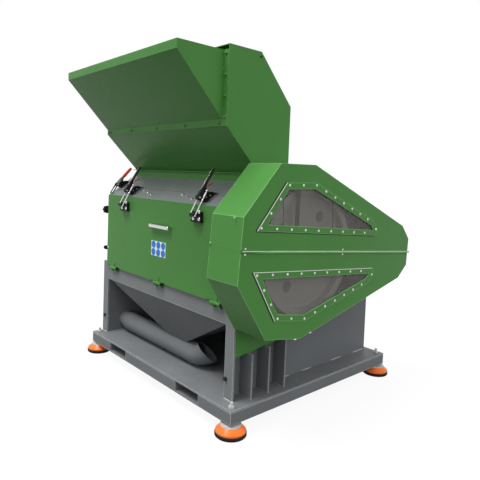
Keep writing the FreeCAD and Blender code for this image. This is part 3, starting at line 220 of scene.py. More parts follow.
# Bodies along a lever, as sections of (along, off, width, depth) measured from its pin
LEVER_EDGE_ASIDE = 8.5
LEVER_EDGE = ((30, 7.0, 1.5, 4.4), (34, 7.0, 4.5, 4.4), (120, 7.0, 4.5, 4.4),
              (216, 7.0, 4.5, 4.4), (222, 7.0, 1.5, 4.4))
LEVER_GRIP = ((132, 0, 12, 8), (136, 0, 16, 11), (150, 0, 16, 11), (215, 0, 14, 10),
              (224, 0, 12, 8), (228, 0, 7, 5))
RELEASE_TAB = ((96, -12, 8, 5), (104, -22, 12, 8), (122, -34, 13, 9), (140, -42, 11, 8),
               (146, -45, 6, 4))
RED_GRIP = ((80, 0, 16, 11), (84, 0, 24, 19), (104, 0, 27, 22), (180, 0, 25, 20),
            (190, 0, 20, 15), (195, 0, 10, 7))
RED_PLATE = ((4, 0, 2, 8), (8, 0, 4, 16), (40, 0, 4, 19), (76, 0, 4, 15), (82, 0, 2, 8))

# Turned shapes: rings of (radius, height, outline) from the top's middle down
ROUND, HEX = "round", "hex"
ROD_NUT = ((0, 8, ROUND), (5.0, 8, ROUND), (6.4, 7.2, HEX), (6.8, 6.4, HEX), (6.8, 1.0, HEX),
           (6.4, 0.3, HEX), (0, 0, ROUND))
ROD_STUD = ((0, 22, ROUND), (3.2, 22, ROUND), (4.0, 21, ROUND), (4.0, -2, ROUND),
            (0, -2, ROUND))
ROD_FITTINGS = ((112, ROD_NUT), (172, ROD_STUD), (180, ROD_NUT))
HINGE_CAP = ((0, 11, ROUND), (6, 10.5, ROUND), (9.5, 8, ROUND), (11.5, 4, ROUND),
             (11.5, 0.4, ROUND), (0, 0.4, ROUND))


def on_guard(back, up, out=0.0):
    """A place on the guard's side, measured along and square to its split line."""
    y = GUARD_NOSE_FACE + back * math.cos(GUARD_TILT) + up * math.sin(GUARD_TILT)
    z = GUARD_SPLIT - back * math.sin(GUARD_TILT) + up * math.cos(GUARD_TILT)
    return at(GUARD_SIDE + out, y, z)


def on_slope(x, along, above=0.0):
    """A place on the sloping top, measured up the slope from its front edge."""
    y = SLOPE_FRONT[0] + along * math.cos(SLOPE) - above * math.sin(SLOPE)
    z = SLOPE_FRONT[1] + along * math.sin(SLOPE) + above * math.cos(SLOPE)
    return at(x, y, z)


# Shader helpers
def fill(tree, socket, value):
    """Sets an input, or links it to another node's output."""
    if isinstance(value, bpy.types.NodeSocket):
        tree.links.new(value, socket)
    else:
        socket.default_value = value


def add(tree, kind, settings=None, **inputs):
    """A shader node with its settings and inputs; i0 and i1 are inputs by number."""
    made = tree.nodes.new(kind)
    for key, value in (settings or {}).items():
        setattr(made, key, value)
    for key, value in inputs.items():
        numbered = key[0] == "i" and key[1:].isdigit()
        fill(tree, made.inputs[int(key[1:]) if numbered else key], value)
    return made


def place_of(tree):
    """The object's own coordinates, in metres."""
    return add(tree, "ShaderNodeTexCoord").outputs["Object"]


def part_of(tree, vector, axis):
    """One coordinate of a vector."""
    return add(tree, "ShaderNodeSeparateXYZ", Vector=vector).outputs[axis]


def noise(tree, scale, detail=2.0, roughness=0.5, stretch=None):
    """Noise in the object's own metres."""
    place = place_of(tree)
    if stretch:
        place = add(tree, "ShaderNodeMapping", Vector=place, Scale=stretch).outputs[0]
    made = add(tree, "ShaderNodeTexNoise", Vector=place, Scale=scale, Detail=detail,
               Roughness=roughness)
    return made.outputs["Fac"]


def ranged(tree, value, low, high, to_low, to_high):
    """A value mapped from one range to another and held inside it."""
    return add(tree, "ShaderNodeMapRange", Value=value, **{
        "From Min": low, "From Max": high, "To Min": to_low, "To Max": to_high}).outputs[0]


def maths(tree, operation, a, b=0.0):
    """One operation on one or two values."""
    return add(tree, "ShaderNodeMath", {"operation": operation}, i0=a, i1=b).outputs[0]


def distance(tree, value, middle):
    """How far a value is from a middle."""
    return maths(tree, "ABSOLUTE", maths(tree, "SUBTRACT", value, middle))


def mixed(tree, share, a, b):
    """A colour between two colours."""
    made = add(tree, "ShaderNodeMix", {"data_type": "RGBA"})
    sockets = {s.identifier: s for s in made.inputs}
    fill(tree, sockets["Factor_Float"], share)
    fill(tree, sockets["A_Color"], a)
    fill(tree, sockets["B_Color"], b)
    return next(s for s in made.outputs if s.identifier == "Result_Color")


def shade(colour, by):
    """A colour made lighter or darker."""
    return (*(min(1.0, c * by) for c in colour), 1.0)


# Finishes
DUST = (0.42, 0.41, 0.38, 1.0)
GREEN = (0.066, 0.218, 0.048)
GREY = (0.147, 0.156, 0.165)
BLACK = (0.018, 0.018, 0.02)
PAINTED_LIGHT_BACKING = (0.85, 0.83, 0.8)
WORN_GREY = (0.42, 0.43, 0.43)
PALE_WEAR_AND_HIGHLIGHT = (0.5, 0.51, 0.51)
GREEN_COAT = {"roughness": 0.34, "uneven": 0.05, "patch": 1.6, "grain": 420.0, "bump": 0.12}
GREY_COAT = {"roughness": 0.42, "uneven": 0.07, "patch": 2.2, "grain": 380.0, "bump": 0.14}
BLACK_COAT = {"roughness": 0.42, "uneven": 0.25, "patch": 30.0, "grain": 600.0, "bump": 0.15}
PANE_ALPHA = 0.28
KEPT_NEAR, KEPT_FAR = 0.010, 0.014


def dusted(tree, tint, dust):
    """Pale dust in patches on what faces up."""
    up = part_of(tree, add(tree, "ShaderNodeNewGeometry").outputs["Normal"], "Z")
    level = ranged(tree, up, 0.7, 1.0, 0.0, dust)
    patch = ranged(tree, noise(tree, 6.0, 6.0, 0.65), 0.35, 0.7, 0.2, 1.0)
    return mixed(tree, maths(tree, "MULTIPLY", level, patch), tint, DUST)


def wear_and_highlight_mask(tree, reach, share):
    """A mask that is 1 in patches along sharp edges."""
    soft = add(tree, "ShaderNodeBevel", {"samples": 4}, Radius=reach).outputs[0]
    flat = add(tree, "ShaderNodeNewGeometry").outputs["Normal"]
    same = add(tree, "ShaderNodeVectorMath", {"operation": "DOT_PRODUCT"}, i0=soft, i1=flat)
    edge = ranged(tree, same.outputs["Value"], 0.93, 0.995, 1.0, 0.0)
    patch = ranged(tree, noise(tree, 55.0, 5.0, 0.7), 0.62 - share, 0.70 - share, 0.0, 1.0)
    return maths(tree, "MULTIPLY", edge, patch)


def with_wear_and_highlight(tree, tint, wear_and_highlight_tint, wear_and_highlight_share, reach, kept):
    """Another colour in patches along sharp edges, wear on some finishes and painted highlights on
    others, but not round a height in metres that is kept plain.
    """
    edge = wear_and_highlight_mask(tree, reach, wear_and_highlight_share)
    if kept:
        off = distance(tree, part_of(tree, place_of(tree), "Z"), kept)
        edge = maths(tree, "MULTIPLY", edge, ranged(tree, off, KEPT_NEAR, KEPT_FAR, 0.0, 1.0))
    return mixed(tree, edge, tint, (*wear_and_highlight_tint, 1.0))


def finish(name, colour, roughness=0.4, metallic=0.0, uneven=0.06, patch=2.0, grain=300.0,
           bump=0.1, depth=0.0003, wear_and_highlight_tint=None, wear_and_highlight_share=0.1, reach=0.003, kept=None, gloss_level=0.1,
           stretch=None, dust=0.0):
    """One finish: its colour drifts in patches, its gloss varies and its surface has a grain."""
    material = bpy.data.materials.new(name)
    material.use_nodes = True
    tree = material.node_tree
    shader = tree.nodes["Principled BSDF"]
    shader.inputs["Metallic"].default_value = metallic
    shader.inputs["Specular IOR Level"].default_value = gloss_level
    drift = ranged(tree, noise(tree, patch, 4.0, 0.6, stretch), 0.3, 0.7, 0.0, 1.0)
    tint = mixed(tree, drift, shade(colour, 1 - uneven), shade(colour, 1 + uneven))
    if dust:
        tint = dusted(tree, tint, dust)
    # Edge colour: wear on some finishes, painted highlights along edges on others.
    if wear_and_highlight_tint:
        tint = with_wear_and_highlight(tree, tint, wear_and_highlight_tint, wear_and_highlight_share, reach, kept)
    tree.links.new(tint, shader.inputs["Base Color"])
    gloss = ranged(tree, noise(tree, 14.0, 5.0, 0.6, stretch), 0.3, 0.7,
                   max(0.02, roughness - 0.06), roughness + 0.08)
    tree.links.new(gloss, shader.inputs["Roughness"])
    raised = add(tree, "ShaderNodeBump", Strength=bump, Distance=depth,
                 Height=noise(tree, grain, 2.0, 0.5, stretch))
    tree.links.new(raised.outputs["Normal"], shader.inputs["Normal"])
    return material


def repaint(material, share, colour):
    """Lays another colour over a finish where a share says so."""
    tree = material.node_tree
    base = tree.nodes["Principled BSDF"].inputs["Base Color"]
    under = base.links[0].from_socket
    tree.links.new(mixed(tree, share, under, (*colour, 1.0)), base)


def window_finish():
    """Smoke-grey plastic, hazy enough that what is behind it only shows faintly."""
    material = finish("window_plastic", (0.25, 0.238, 0.222), 0.16, uneven=0.06, patch=3.0,
                      grain=5.0, bump=0.03, depth=0.0006)
    material.node_tree.nodes["Principled BSDF"].inputs["Alpha"].default_value = PANE_ALPHA
    return material


def backing_finish():
    """The guard's back plate: grey on the machine's side, and pale on the belt's side as painted
    light, so the dim inside of the closed guard shows light through the panes; the real colour
    there is not known.
    """
    material = finish("guard_backing", GREY, 0.6, uneven=0.08, patch=4.0, grain=30.0, bump=0.03)
    tree = material.node_tree
    turn = at(BACKING_TURN, 0, 0).x
    inside = ranged(tree, part_of(tree, place_of(tree), "X"), turn - 0.0003, turn + 0.0003,
                    0.0, 1.0)
    repaint(material, inside, PAINTED_LIGHT_BACKING)
    return material


def clamp_base_finish():
    """Black under each clamp, with the plate's outer margins in the machine's grey."""
    material = finish("clamp_base_paint", BLACK, **BLACK_COAT)
    tree = material.node_tree
    across = part_of(tree, place_of(tree), "X")
    margin = None
    blacks = [(x, BLACK_HALF_WIDTH) for x in CLAMP_XS] + [(RED_CLAMP_X, RED_BLACK_HALF_WIDTH)]
    for x, half in blacks:
        off = distance(tree, across, at(x, 0, 0).x)
        outside = ranged(tree, off, half / 1000 - 0.001, half / 1000 + 0.001, 0.0, 1.0)
        margin = outside if margin is None else maths(tree, "MULTIPLY", margin, outside)
    repaint(material, margin, GREY)
    return material


# The record's slots
finishes = {
    # Lighter green in patches along the green paint's sharp edges.
    "green_paint": finish("green_paint", GREEN, **GREEN_COAT, wear_and_highlight_tint=(0.2, 0.45, 0.17), wear_and_highlight_share=0.1),
    "grey_paint": finish("grey_paint", GREY, **GREY_COAT, wear_and_highlight_tint=WORN_GREY, wear_and_highlight_share=0.12, dust=0.12),
    "foot_orange": finish("foot_orange", (0.86, 0.165, 0.02), 0.28, gloss_level=0.2,
                          uneven=0.08, patch=18.0, grain=500.0, bump=0.1, wear_and_highlight_tint=(0.5, 0.3, 0.2),
                          wear_and_highlight_share=0.05),
    "foot_rubber": finish("foot_rubber", (0.018, 0.018, 0.019), 0.75, uneven=0.2, patch=25.0,
                          grain=700.0, bump=0.35, dust=0.3),
    "zinc_steel": finish("zinc_steel", (0.62, 0.62, 0.60), 0.3, metallic=1.0, uneven=0.12,
                         patch=40.0, grain=900.0, bump=0.1),
    "black_steel": finish("black_steel", BLACK, **BLACK_COAT, wear_and_highlight_tint=(0.25, 0.25, 0.25), wear_and_highlight_share=0.1),
    "black_plastic": finish("black_plastic", (0.02, 0.02, 0.022), 0.5, uneven=0.15, patch=30.0,
                            grain=1200.0, bump=0.25),
    "chrome": finish("chrome", (0.6, 0.6, 0.6), 0.22, metallic=1.0, uneven=0.04, patch=20.0,
                     grain=500.0, bump=0.02),
    "window_plastic": window_finish(),
    "cast_iron": finish("cast_iron", (0.085, 0.083, 0.08), 0.6, metallic=0.6, uneven=0.15,
                        patch=12.0, grain=260.0, bump=0.4, depth=0.0006),
    "tool_steel": finish("tool_steel", (0.42, 0.42, 0.43), 0.35, metallic=1.0, uneven=0.1,
                         patch=10.0, grain=600.0, bump=0.1, stretch=(1.0, 30.0, 30.0)),
    "belt_rubber": finish("belt_rubber", (0.03, 0.03, 0.03), 0.7, uneven=0.2, patch=15.0,
                          grain=500.0, bump=0.3),
    "motor_paint": finish("motor_paint", (0.09, 0.12, 0.16), 0.45, uneven=0.08, patch=6.0,
                          grain=300.0, bump=0.2, wear_and_highlight_tint=(0.25, 0.27, 0.3), wear_and_highlight_share=0.08, dust=0.3),
    "red_plastic": finish("red_plastic", (0.62, 0.06, 0.03), 0.35, uneven=0.08, patch=25.0,
                          grain=900.0, bump=0.1),
}

# Finishes of single nodes and pieces
# The guard's lighter green along its fold edges is a painted highlight, kept off the split line's
# height.
guard_paint = finish("guard_paint", GREEN, **GREEN_COAT, wear_and_highlight_tint=(0.3, 0.6, 0.26), wear_and_highlight_share=0.4,
                     reach=0.005, kept=GUARD_SPLIT / 1000)
guard_backing = backing_finish()
clamp_base_paint = clamp_base_finish()
# The deck, rims, ribs and frame get pale colour along their edges: partly wear, partly painted
# highlight.
deck_grey = finish("deck_grey", GREY, **GREY_COAT, wear_and_highlight_tint=PALE_WEAR_AND_HIGHLIGHT, wear_and_highlight_share=0.4, reach=0.006,
                   dust=0.12)
frame_grey = finish("frame_grey", (0.18, 0.19, 0.196), **GREY_COAT, wear_and_highlight_tint=PALE_WEAR_AND_HIGHLIGHT, wear_and_highlight_share=0.4,
                    reach=0.006)
# A darker copy of the grey paint for the funnel: painted shade on its inward, downward-facing
# panels.
painted_shade_funnel_grey = finish("painted_shade_funnel_grey", (0.112, 0.119, 0.124), **GREY_COAT, wear_and_highlight_tint=WORN_GREY,
                     wear_and_highlight_share=0.12)
# A lighter copy of the grey paint for the sloping top and top plates: painted light where the
# hopper shades them.
painted_light_top_grey = finish("painted_light_top_grey", (0.2, 0.222, 0.215), **GREY_COAT, wear_and_highlight_tint=WORN_GREY, wear_and_highlight_share=0.12)
# The pulley's pale grey is painted light, so it shows through the panes; its real colour is not
# known.
painted_light_wheel_grey = finish("painted_light_wheel_grey", (0.34, 0.33, 0.315), 0.55, uneven=0.08, patch=6.0)
weld_grey = finish("weld_grey", (0.42, 0.42, 0.41), 0.45, uneven=0.15, patch=30.0)
stud_zinc = finish("stud_zinc", (0.55, 0.55, 0.54), 0.4, metallic=0.2, uneven=0.12, patch=40.0)
# Pale green of the split lip's top: a painted highlight.
lip_highlight = finish("lip_highlight", (0.5, 0.63, 0.46), 0.35, uneven=0.12, patch=12.0)
# Green paint made lighter for the nose screws: a painted highlight on their domes.
highlight_green = finish("highlight_green", (0.2, 0.5, 0.17), 0.3, uneven=0.08, patch=30.0, bump=0.05)
# Near-black for the shapes behind the panes: painted shade.
painted_shade_inside = finish("painted_shade_inside", (0.012, 0.012, 0.012), 0.6, uneven=0.2, patch=20.0)
label_white = finish("label_white", (0.78, 0.79, 0.8), 0.35, uneven=0.03, grain=600.0, bump=0.04)
label_blue = finish("label_blue", (0.035, 0.19, 0.58), 0.35, uneven=0.05, grain=600.0, bump=0.04)

node_finishes = {
    "guard_upper": guard_paint, "guard_lower": guard_paint, "window_frames": guard_paint,
    "guard_back_plate": guard_backing, "rotor_pulley": painted_light_wheel_grey,
    "base_deck": deck_grey, "base_rims": deck_grey, "side_ribs": deck_grey,
    "front_frame": frame_grey, "funnel": painted_shade_funnel_grey, "feet_studs": stud_zinc,
    "top_slopes": painted_light_top_grey, "top_plates": painted_light_top_grey,
    "clamp_bases": clamp_base_paint, "red_clamp_lever": finishes["black_steel"],
}
EDGE_ROUNDING = 0.0012
SHEET_ROUNDINGS = {"hopper_sides": 0.002, "hopper_front_and_roof": 0.002, "guard_upper": 0.002,
                   "guard_lower": 0.002, "door": 0.0022}


def dress_nodes():
    """Gives each CAD node its finish and a small rounding on its sharp edges."""
    slots = {s["node"]: s["material_slot"] for s in frame["record"]["subparts"]}
    for name, obj in nodes.items():
        obj.data.materials.clear()
        obj.data.materials.append(node_finishes.get(name, finishes[slots[name]]))
        rounding = obj.modifiers.new("edge", "BEVEL")
        rounding.width = SHEET_ROUNDINGS.get(name, EDGE_ROUNDING)
        rounding.segments = 2
        rounding.limit_method = "ANGLE"
        rounding.angle_limit = math.radians(35)
        rounding.use_clamp_overlap = True


# Mesh helpers
def piece(name, bm, material, body, smooth=35.0):
    """Turns a mesh into an object that rides on a body."""
    bmesh.ops.recalc_face_normals(bm, faces=bm.faces)
    mesh = bpy.data.meshes.new(name)
    bm.to_mesh(mesh)
    bm.free()
    obj = bpy.data.objects.new(name, mesh)
    bpy.context.scene.collection.objects.link(obj)
    mesh.materials.append(material)
    for face in mesh.polygons:
        face.use_smooth = True
    mesh.set_sharp_from_angle(angle=math.radians(smooth))
    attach(obj, body)
    return obj


def slot_piece(name, bm, slot, body="machine"):
    """A piece in the finish of its own slot."""
    return piece(name, bm, finishes[slot], body)


def facing(place, normal, roll=0.0):
    """The matrix of a local frame whose z axis points along a normal."""
    turn = Vector(normal).to_track_quat("Z", "Y").to_matrix().to_4x4()
    return Matrix.Translation(place) @ turn @ Matrix.Rotation(roll, 4, "Z")


def revolve(bm, matrix, rings, sides=12):
    """Rings of (radius mm, height mm, outline) round a local z axis; radius 0 is a point."""
    last = None
    for radius, height, outline in rings:
        ring = []
        for i in range(sides if radius else 1):
            turn = 2 * math.pi * i / sides
            reach = radius / 1000
            if outline == HEX:
                reach /= math.cos((turn + math.pi / 6) % (math.pi / 3) - math.pi / 6)
            point = Vector((reach * math.cos(turn), reach * math.sin(turn), height / 1000))
            ring.append(bm.verts.new(matrix @ point))
        if last:
            for i in range(sides):
                quad = [last[i % len(last)], last[(i + 1) % len(last)],
                        ring[(i + 1) % len(ring)], ring[i % len(ring)]]
                bm.faces.new(dict.fromkeys(quad))
        last = ring


def swept(bm, sections):
    """A closed body through rings of points, capped at both ends."""
    rings = [[bm.verts.new(point) for point in ring] for ring in sections]
    count = len(rings[0])
    for a, b in zip(rings[:-1], rings[1:]):
        for i in range(count):
            j = (i + 1) % count
            bm.faces.new((a[i], a[j], b[j], b[i]))
    bm.faces.new(rings[0][::-1])
    bm.faces.new(rings[-1])


def hex_head(flats, washer=0.0):
    """A hexagon head of a size across its flats, on a washer of a diameter if one is given."""
    half = flats / 2
    lift = 1.6 if washer else 0.0
    top = lift + 0.62 * flats
    rings = [(0, top, ROUND), (0.8 * half, top, ROUND), (0.97 * half, top - 0.08 * flats, HEX),
             (half, top - 0.16 * flats, HEX), (half, lift, HEX)]
    if washer:
        rings += [(washer / 2 - 0.4, lift, ROUND), (washer / 2, lift - 0.4, ROUND),
                  (washer / 2, 0, ROUND)]
    return rings


def button_head(diameter):
    """A domed socket screw of a head diameter."""
    r = diameter / 2
    h = 0.55 * r
    return [(0, 0.35 * h, ROUND), (0.36 * r, 0.35 * h, HEX), (0.36 * r, h, HEX),
            (0.62 * r, 0.9 * h, ROUND), (0.86 * r, 0.6 * h, ROUND), (r, 0.2 * h, ROUND),
            (r, 0, ROUND)]


def fasteners(name, spots, rings, normal, slot, body="machine"):
    """One piece with the same head at each of several places, each turned by chance."""
    bm = bmesh.new()
    for spot in spots:
        revolve(bm, facing(spot, normal, dice.uniform(0, math.pi / 3)), rings)
    return slot_piece(name, bm, slot, body)


def spread(start, end, count):
    """Evenly spaced numbers, with both ends."""
    return [start + (end - start) * i / count for i in range(count + 1)]


def between(a, b, count):
    """Evenly spaced pairs, with both ends."""
    return list(zip(spread(a[0], b[0], count), spread(a[1], b[1], count)))


def weld(name, runs, size, ripple=0.004, fewest=6, sides=8):
    """Rippled beads, each between two places, thinner at their ends."""
    bm = bmesh.new()
    for start, end in runs:
        length = (end - start).length
        step = length / max(fewest, int(length / ripple))
        count = int(length / step)
        turn = (end - start).to_track_quat("Z", "Y").to_matrix().to_4x4()
        sections = []
        for i in range(count + 1):
            share = i / count
            taper = min(1.0, 6 * share + 0.3, 6 * (1 - share) + 0.3)
            wave = 0.86 + 0.14 * math.sin(i * 2.1) + dice.uniform(-0.05, 0.05)
            radius = size / 1000 * taper * wave
            middle = Matrix.Translation(start.lerp(end, share)) @ turn
            angles = [2 * math.pi * k / sides for k in range(sides)]
            sections.append([middle @ Vector((radius * math.cos(a), radius * math.sin(a), 0))
                             for a in angles])
        swept(bm, sections)
    return piece(name, bm, weld_grey, "machine")


# Belt guard
def guard_fasteners():
    """Screws round both windows, along the split, on the nose and under the lower edge."""
    low, rise, peak, fall, tail = WINDOW_SCREWS
    line = between(low, rise, 3)[:-1] + between(rise, peak, 2)[:-1] + between(peak, fall, 6)
    line += [tail] + between(low, WINDOW_SCREWS_END, 8)[1:]
    spots = [on_guard(back, side * up, STRIP_SHEET) for side in (1, -1) for back, up in line]
    fasteners("guard_window_screws", spots, button_head(diameter=17), TO_RIGHT, "zinc_steel")
    pairs = [on_guard(back, side * SPLIT_SCREW_OFF) for back in SPLIT_SCREWS for side in (1, -1)]
    fasteners("guard_split_screws", pairs, button_head(diameter=15), TO_RIGHT, "zinc_steel")
    nose = [at(x, GUARD_NOSE_FACE, z) for x, z in NOSE_SCREWS]
    bolts = fasteners("guard_nose_screws", nose, button_head(diameter=16), TO_FRONT,
                      "green_paint")
    # The nose screws' green is made lighter: a painted highlight on their domes.
    bolts.data.materials[0] = highlight_green
    rings = hex_head(FOOT_SCREW_FLATS)[:-1]
    rings += [(FOOT_SCREW_FLATS / 2, -FOOT_SCREW_LENGTH, HEX), (0, -FOOT_SCREW_LENGTH, ROUND)]
    feet = [on_guard(*spot) for spot in FOOT_SCREWS]
    fasteners("guard_foot_screws", feet, rings, DOWNWARD, "zinc_steel")


def strip_along(bm, start, end, wide, thick):
    """A flat bar with softened corners, laid on the guard's side between two places."""
    out = Vector(TO_RIGHT)
    side = out.cross((end - start).normalized())
    swept(bm, [[place + side * (a * wide / 1000) + out * (b * thick / 1000)
                for a, b in STRIP_SECTION] for place in (start, end)])


def guard_strips(name, strips, out, material):
    """One piece of flat bars, laid a distance out from the guard's side."""
    bm = bmesh.new()
    for start, end, wide, thick in strips:
        strip_along(bm, on_guard(*start, out), on_guard(*end, out), wide, thick)
    piece(name, bm, material, "machine")


def guard_edges():
    """Painted highlights on the window strips' edges and on the lip along the split, and painted
    shade lines in the gaps beside the strips.
    """
    guard_strips("window_edge_highlights", WINDOW_EDGE_HIGHLIGHTS, STRIP_SHEET, finishes["zinc_steel"])
    guard_strips("window_shade_lines", WINDOW_SHADE_LINES, 0.0, finishes["belt_rubber"])
    guard_strips("split_lip_highlight", SPLIT_LIP_HIGHLIGHT, SPLIT_LIP, lip_highlight)


def guard_inside():
    """Near-black shapes just behind the panes: a stay, a corner plate and three thin seams, their
    black painted shade for what shows darkly through the panes.
    """
    bm = bmesh.new()
    for shape in INSIDE_SHAPES.values():
        swept(bm, [[on_guard(back, up, out) for back, up in shape] for out in INSIDE_OUTS])
    piece("guard_inside_plates", bm, painted_shade_inside, "machine")


# Hopper
def hopper_fasteners():
    """Bolts on the hood's flange, and a plug in the hopper's right side."""
    side = [at(FLANGE_SIDE_X, MOUTH_FACE, z) for z in spread(*FLANGE_SIDE_RUN)]
    low = [at(x, MOUTH_FACE, FLANGE_LOW_Z) for x in spread(*FLANGE_LOW_RUN)]
    fasteners("hood_flange_bolts", side + low, hex_head(flats=13, washer=22), TO_FRONT,
              "green_paint")
    fasteners("hopper_side_plug", [at(HOPPER_RIGHT, *HOPPER_PLUG)], button_head(diameter=16),
              TO_RIGHT, "black_plastic")


# Left side and back
def motor_fins():
    """Cooling fins on both sides of the motor's barrel."""
    outline = [*FIN_SECTION, *((radius, -half) for radius, half in FIN_SECTION[::-1])]
    bm = bmesh.new()
    for degrees in FIN_TURNS:
        turn = math.radians(degrees)
        swept(bm, [[at(x, MOTOR_Y + r * math.cos(turn) - h * math.sin(turn),
                       MOTOR_Z + r * math.sin(turn) + h * math.cos(turn)) for r, h in outline]
                   for x in FIN_ENDS])
    slot_piece("motor_fins", bm, "motor_paint")


def motor_grille():
    """Rings on the fan cover."""
    bm = bmesh.new()
    for radius in GRILLE_RADII:
        near, far = radius - GRILLE_HALF, radius + GRILLE_HALF
        rings = [(near, 0, ROUND), (near, GRILLE_SHOULDER, ROUND), (radius, GRILLE_HEIGHT, ROUND),
                 (far, GRILLE_SHOULDER, ROUND), (far, 0, ROUND), (near, 0, ROUND)]
        revolve(bm, facing(at(MOTOR_LEFT, MOTOR_Y, MOTOR_Z), TO_LEFT), rings, sides=48)
    bmesh.ops.remove_doubles(bm, verts=bm.verts, dist=1e-6)
    slot_piece("motor_grille", bm, "motor_paint")


def motor_fasteners():
    """Screws on the terminal box and bolts through the motor's feet."""
    lid = [at(x, y, MOTOR_TOP) for x in BOX_SCREW_XS for y in BOX_SCREW_YS]
    fasteners("motor_box_screws", lid, button_head(diameter=12), UPWARD, "zinc_steel")
    feet = [at(x, y, MOTOR_FOOT_TOP) for x in MOTOR_BOLT_XS for y in MOTOR_BOLT_YS]
    fasteners("motor_foot_bolts", feet, hex_head(flats=24, washer=40), UPWARD, "zinc_steel")


def side_and_back_bolts():
    """Bolts on the left bearing, the chamber's left end and its back wall."""
    turns = [math.pi / 6 + i * math.pi / 3 for i in range(BEARING_BOLTS)]
    ring = [at(BEARING_LEFT, ROTOR_Y + BEARING_BOLT_CIRCLE * math.cos(a),
               ROTOR_Z + BEARING_BOLT_CIRCLE * math.sin(a)) for a in turns]
    fasteners("bearing_bolts", ring, hex_head(flats=22), TO_LEFT, "zinc_steel")
    end = [at(CHAMBER_LEFT, END_BOLTS_Y, z) for z in spread(*END_BOLTS_RUN)]
    fasteners("chamber_end_bolts", end, hex_head(flats=17, washer=28), TO_LEFT, "green_paint")
    back = [at(x, CHAMBER_BACK, BACK_BOLTS_Z) for x in spread(*BACK_BOLTS_RUN)]
    fasteners("chamber_back_bolts", back, hex_head(flats=17, washer=28), TO_BACK, "green_paint")


# Front and door
def front_fasteners():
    """Bolts on the posts, the sloping top, the door's catches and the clamps' plates."""
    posts = [at(x, POST_FACE, z) for x, z in POST_BOLTS]
    fasteners("post_bolts", posts, hex_head(flats=24), TO_FRONT, "black_steel")
    edge = [at(x, DOOR_FACE, z) for x, z in DOOR_SCREWS]
    fasteners("door_edge_screw", edge, button_head(diameter=16), TO_FRONT, "zinc_steel",
              "door_leaf")
    spots = [on_slope(start + SLOPE_BOLT_STEP * i, SLOPE_BOLT_ALONG - SLOPE_BOLT_DROP * i)
             for start in SLOPE_BOLT_STARTS for i in range(SLOPE_BOLTS)]
    fasteners("slope_bolts", spots, hex_head(flats=17, washer=28), SLOPE_NORMAL, "zinc_steel")
    for i, x in enumerate(CLAMP_XS):
        face = [at(x + across, DOOR_FACE - CATCH_DEPTH, z) for across, z in CATCH_BOLTS]
        fasteners(f"catch_bolts_{i + 1}", face, button_head(diameter=26), TO_FRONT,
                  "zinc_steel", "door_leaf")
        plate = [on_slope(x + across, along, CLAMP_SHEET)
                 for across in (-CLAMP_BOLT_OFF, CLAMP_BOLT_OFF) for along in CLAMP_BOLT_ALONGS]
        fasteners(f"clamp_base_bolts_{i + 1}", plate, button_head(diameter=16), SLOPE_NORMAL,
                  "black_steel")


def handle_bow():
    """The handle's rounded outer face."""
    front = HANDLE_FACE + HANDLE_LAP
    turns = [math.pi * i / 12 - math.pi / 2 for i in range(13)]
    bm = bmesh.new()
    swept(bm, [[at(x, front - HANDLE_BULGE * share * math.cos(t),
                   HANDLE_LEVEL + HANDLE_HALF_HEIGHT * share * math.sin(t)) for t in turns]
               for x, share in HANDLE_STATIONS])
    slot_piece("handle_bow", bm, "chrome", "door_leaf")


def hinge_caps():
    """A black cap on the right end of each door hinge pin."""
    bm = bmesh.new()
    for x in HINGE_XS:
        revolve(bm, facing(at(x + HINGE_HALF, *HINGE), TO_RIGHT), HINGE_CAP, sides=20)
    slot_piece("hinge_caps", bm, "black_plastic")


def label_plate():
    """A plain white plate with six plain blue discs."""
    front = DOOR_FACE - LABEL_SHEET
    corners = ((LABEL_LEFT, LABEL_LOW), (LABEL_RIGHT, LABEL_LOW),
               (LABEL_RIGHT, LABEL_HIGH), (LABEL_LEFT, LABEL_HIGH))
    bm = bmesh.new()
    swept(bm, [[at(x, y, z) for x, z in corners] for y in (DOOR_FACE, front)])
    piece("label_plate", bm, label_white, "door_leaf")
    disc = [(0, DISC_SHEET, ROUND), (DISC_RADIUS, DISC_SHEET, ROUND), (DISC_RADIUS, 0, ROUND)]
    bm = bmesh.new()
    for row in range(LABEL_ROWS):
        for column in range(LABEL_COLUMNS):
            x = LABEL_LEFT + (LABEL_RIGHT - LABEL_LEFT) * (column + 0.5) / LABEL_COLUMNS
            z = LABEL_LOW + (LABEL_HIGH - LABEL_LOW) * (row + 0.5) / LABEL_ROWS
            revolve(bm, facing(at(x, front, z), TO_FRONT), disc, sides=32)
    piece("label_discs", bm, label_blue, "door_leaf")


def foot_welds():
    """Beads where the posts and the right wall stand on the platform."""
    posts = [(at(x0, POST_WELD_Y, BASE_TOP), at(x1, POST_WELD_Y, BASE_TOP))
             for x0, x1 in POST_WELDS]
    weld("post_foot_welds", posts, WELD_SIZE)
    wall = [(at(WALL_WELD_X, y0, BASE_TOP), at(WALL_WELD_X, y1, BASE_TOP))
            for y0, y1 in WALL_WELDS]
    weld("wall_welds", wall, WELD_SIZE)


# Latch clamps
def on_lever(lever, x, along, off):
    """A place beside a lever's middle line, measured from its pin."""
    (pin_y, pin_z), turn = lever
    y = pin_y + along * math.cos(turn) - off * math.sin(turn)
    z = pin_z + along * math.sin(turn) + off * math.cos(turn)
    return at(x, y, z)


def rounded_ring(lever, x, along, off, wide, deep, sides=16):
    """A rounded section across a lever: wide along X and deep across the lever."""
    ring = []
    for i in range(sides):
        t = 2 * math.pi * (i + 0.5) / sides
        c, d = math.cos(t), math.sin(t)
        px = wide / 2 * math.copysign(abs(c) ** 0.5, c)
        pz = deep / 2 * math.copysign(abs(d) ** 0.5, d)
        ring.append(on_lever(lever, x + px, along, off + pz))
    return ring


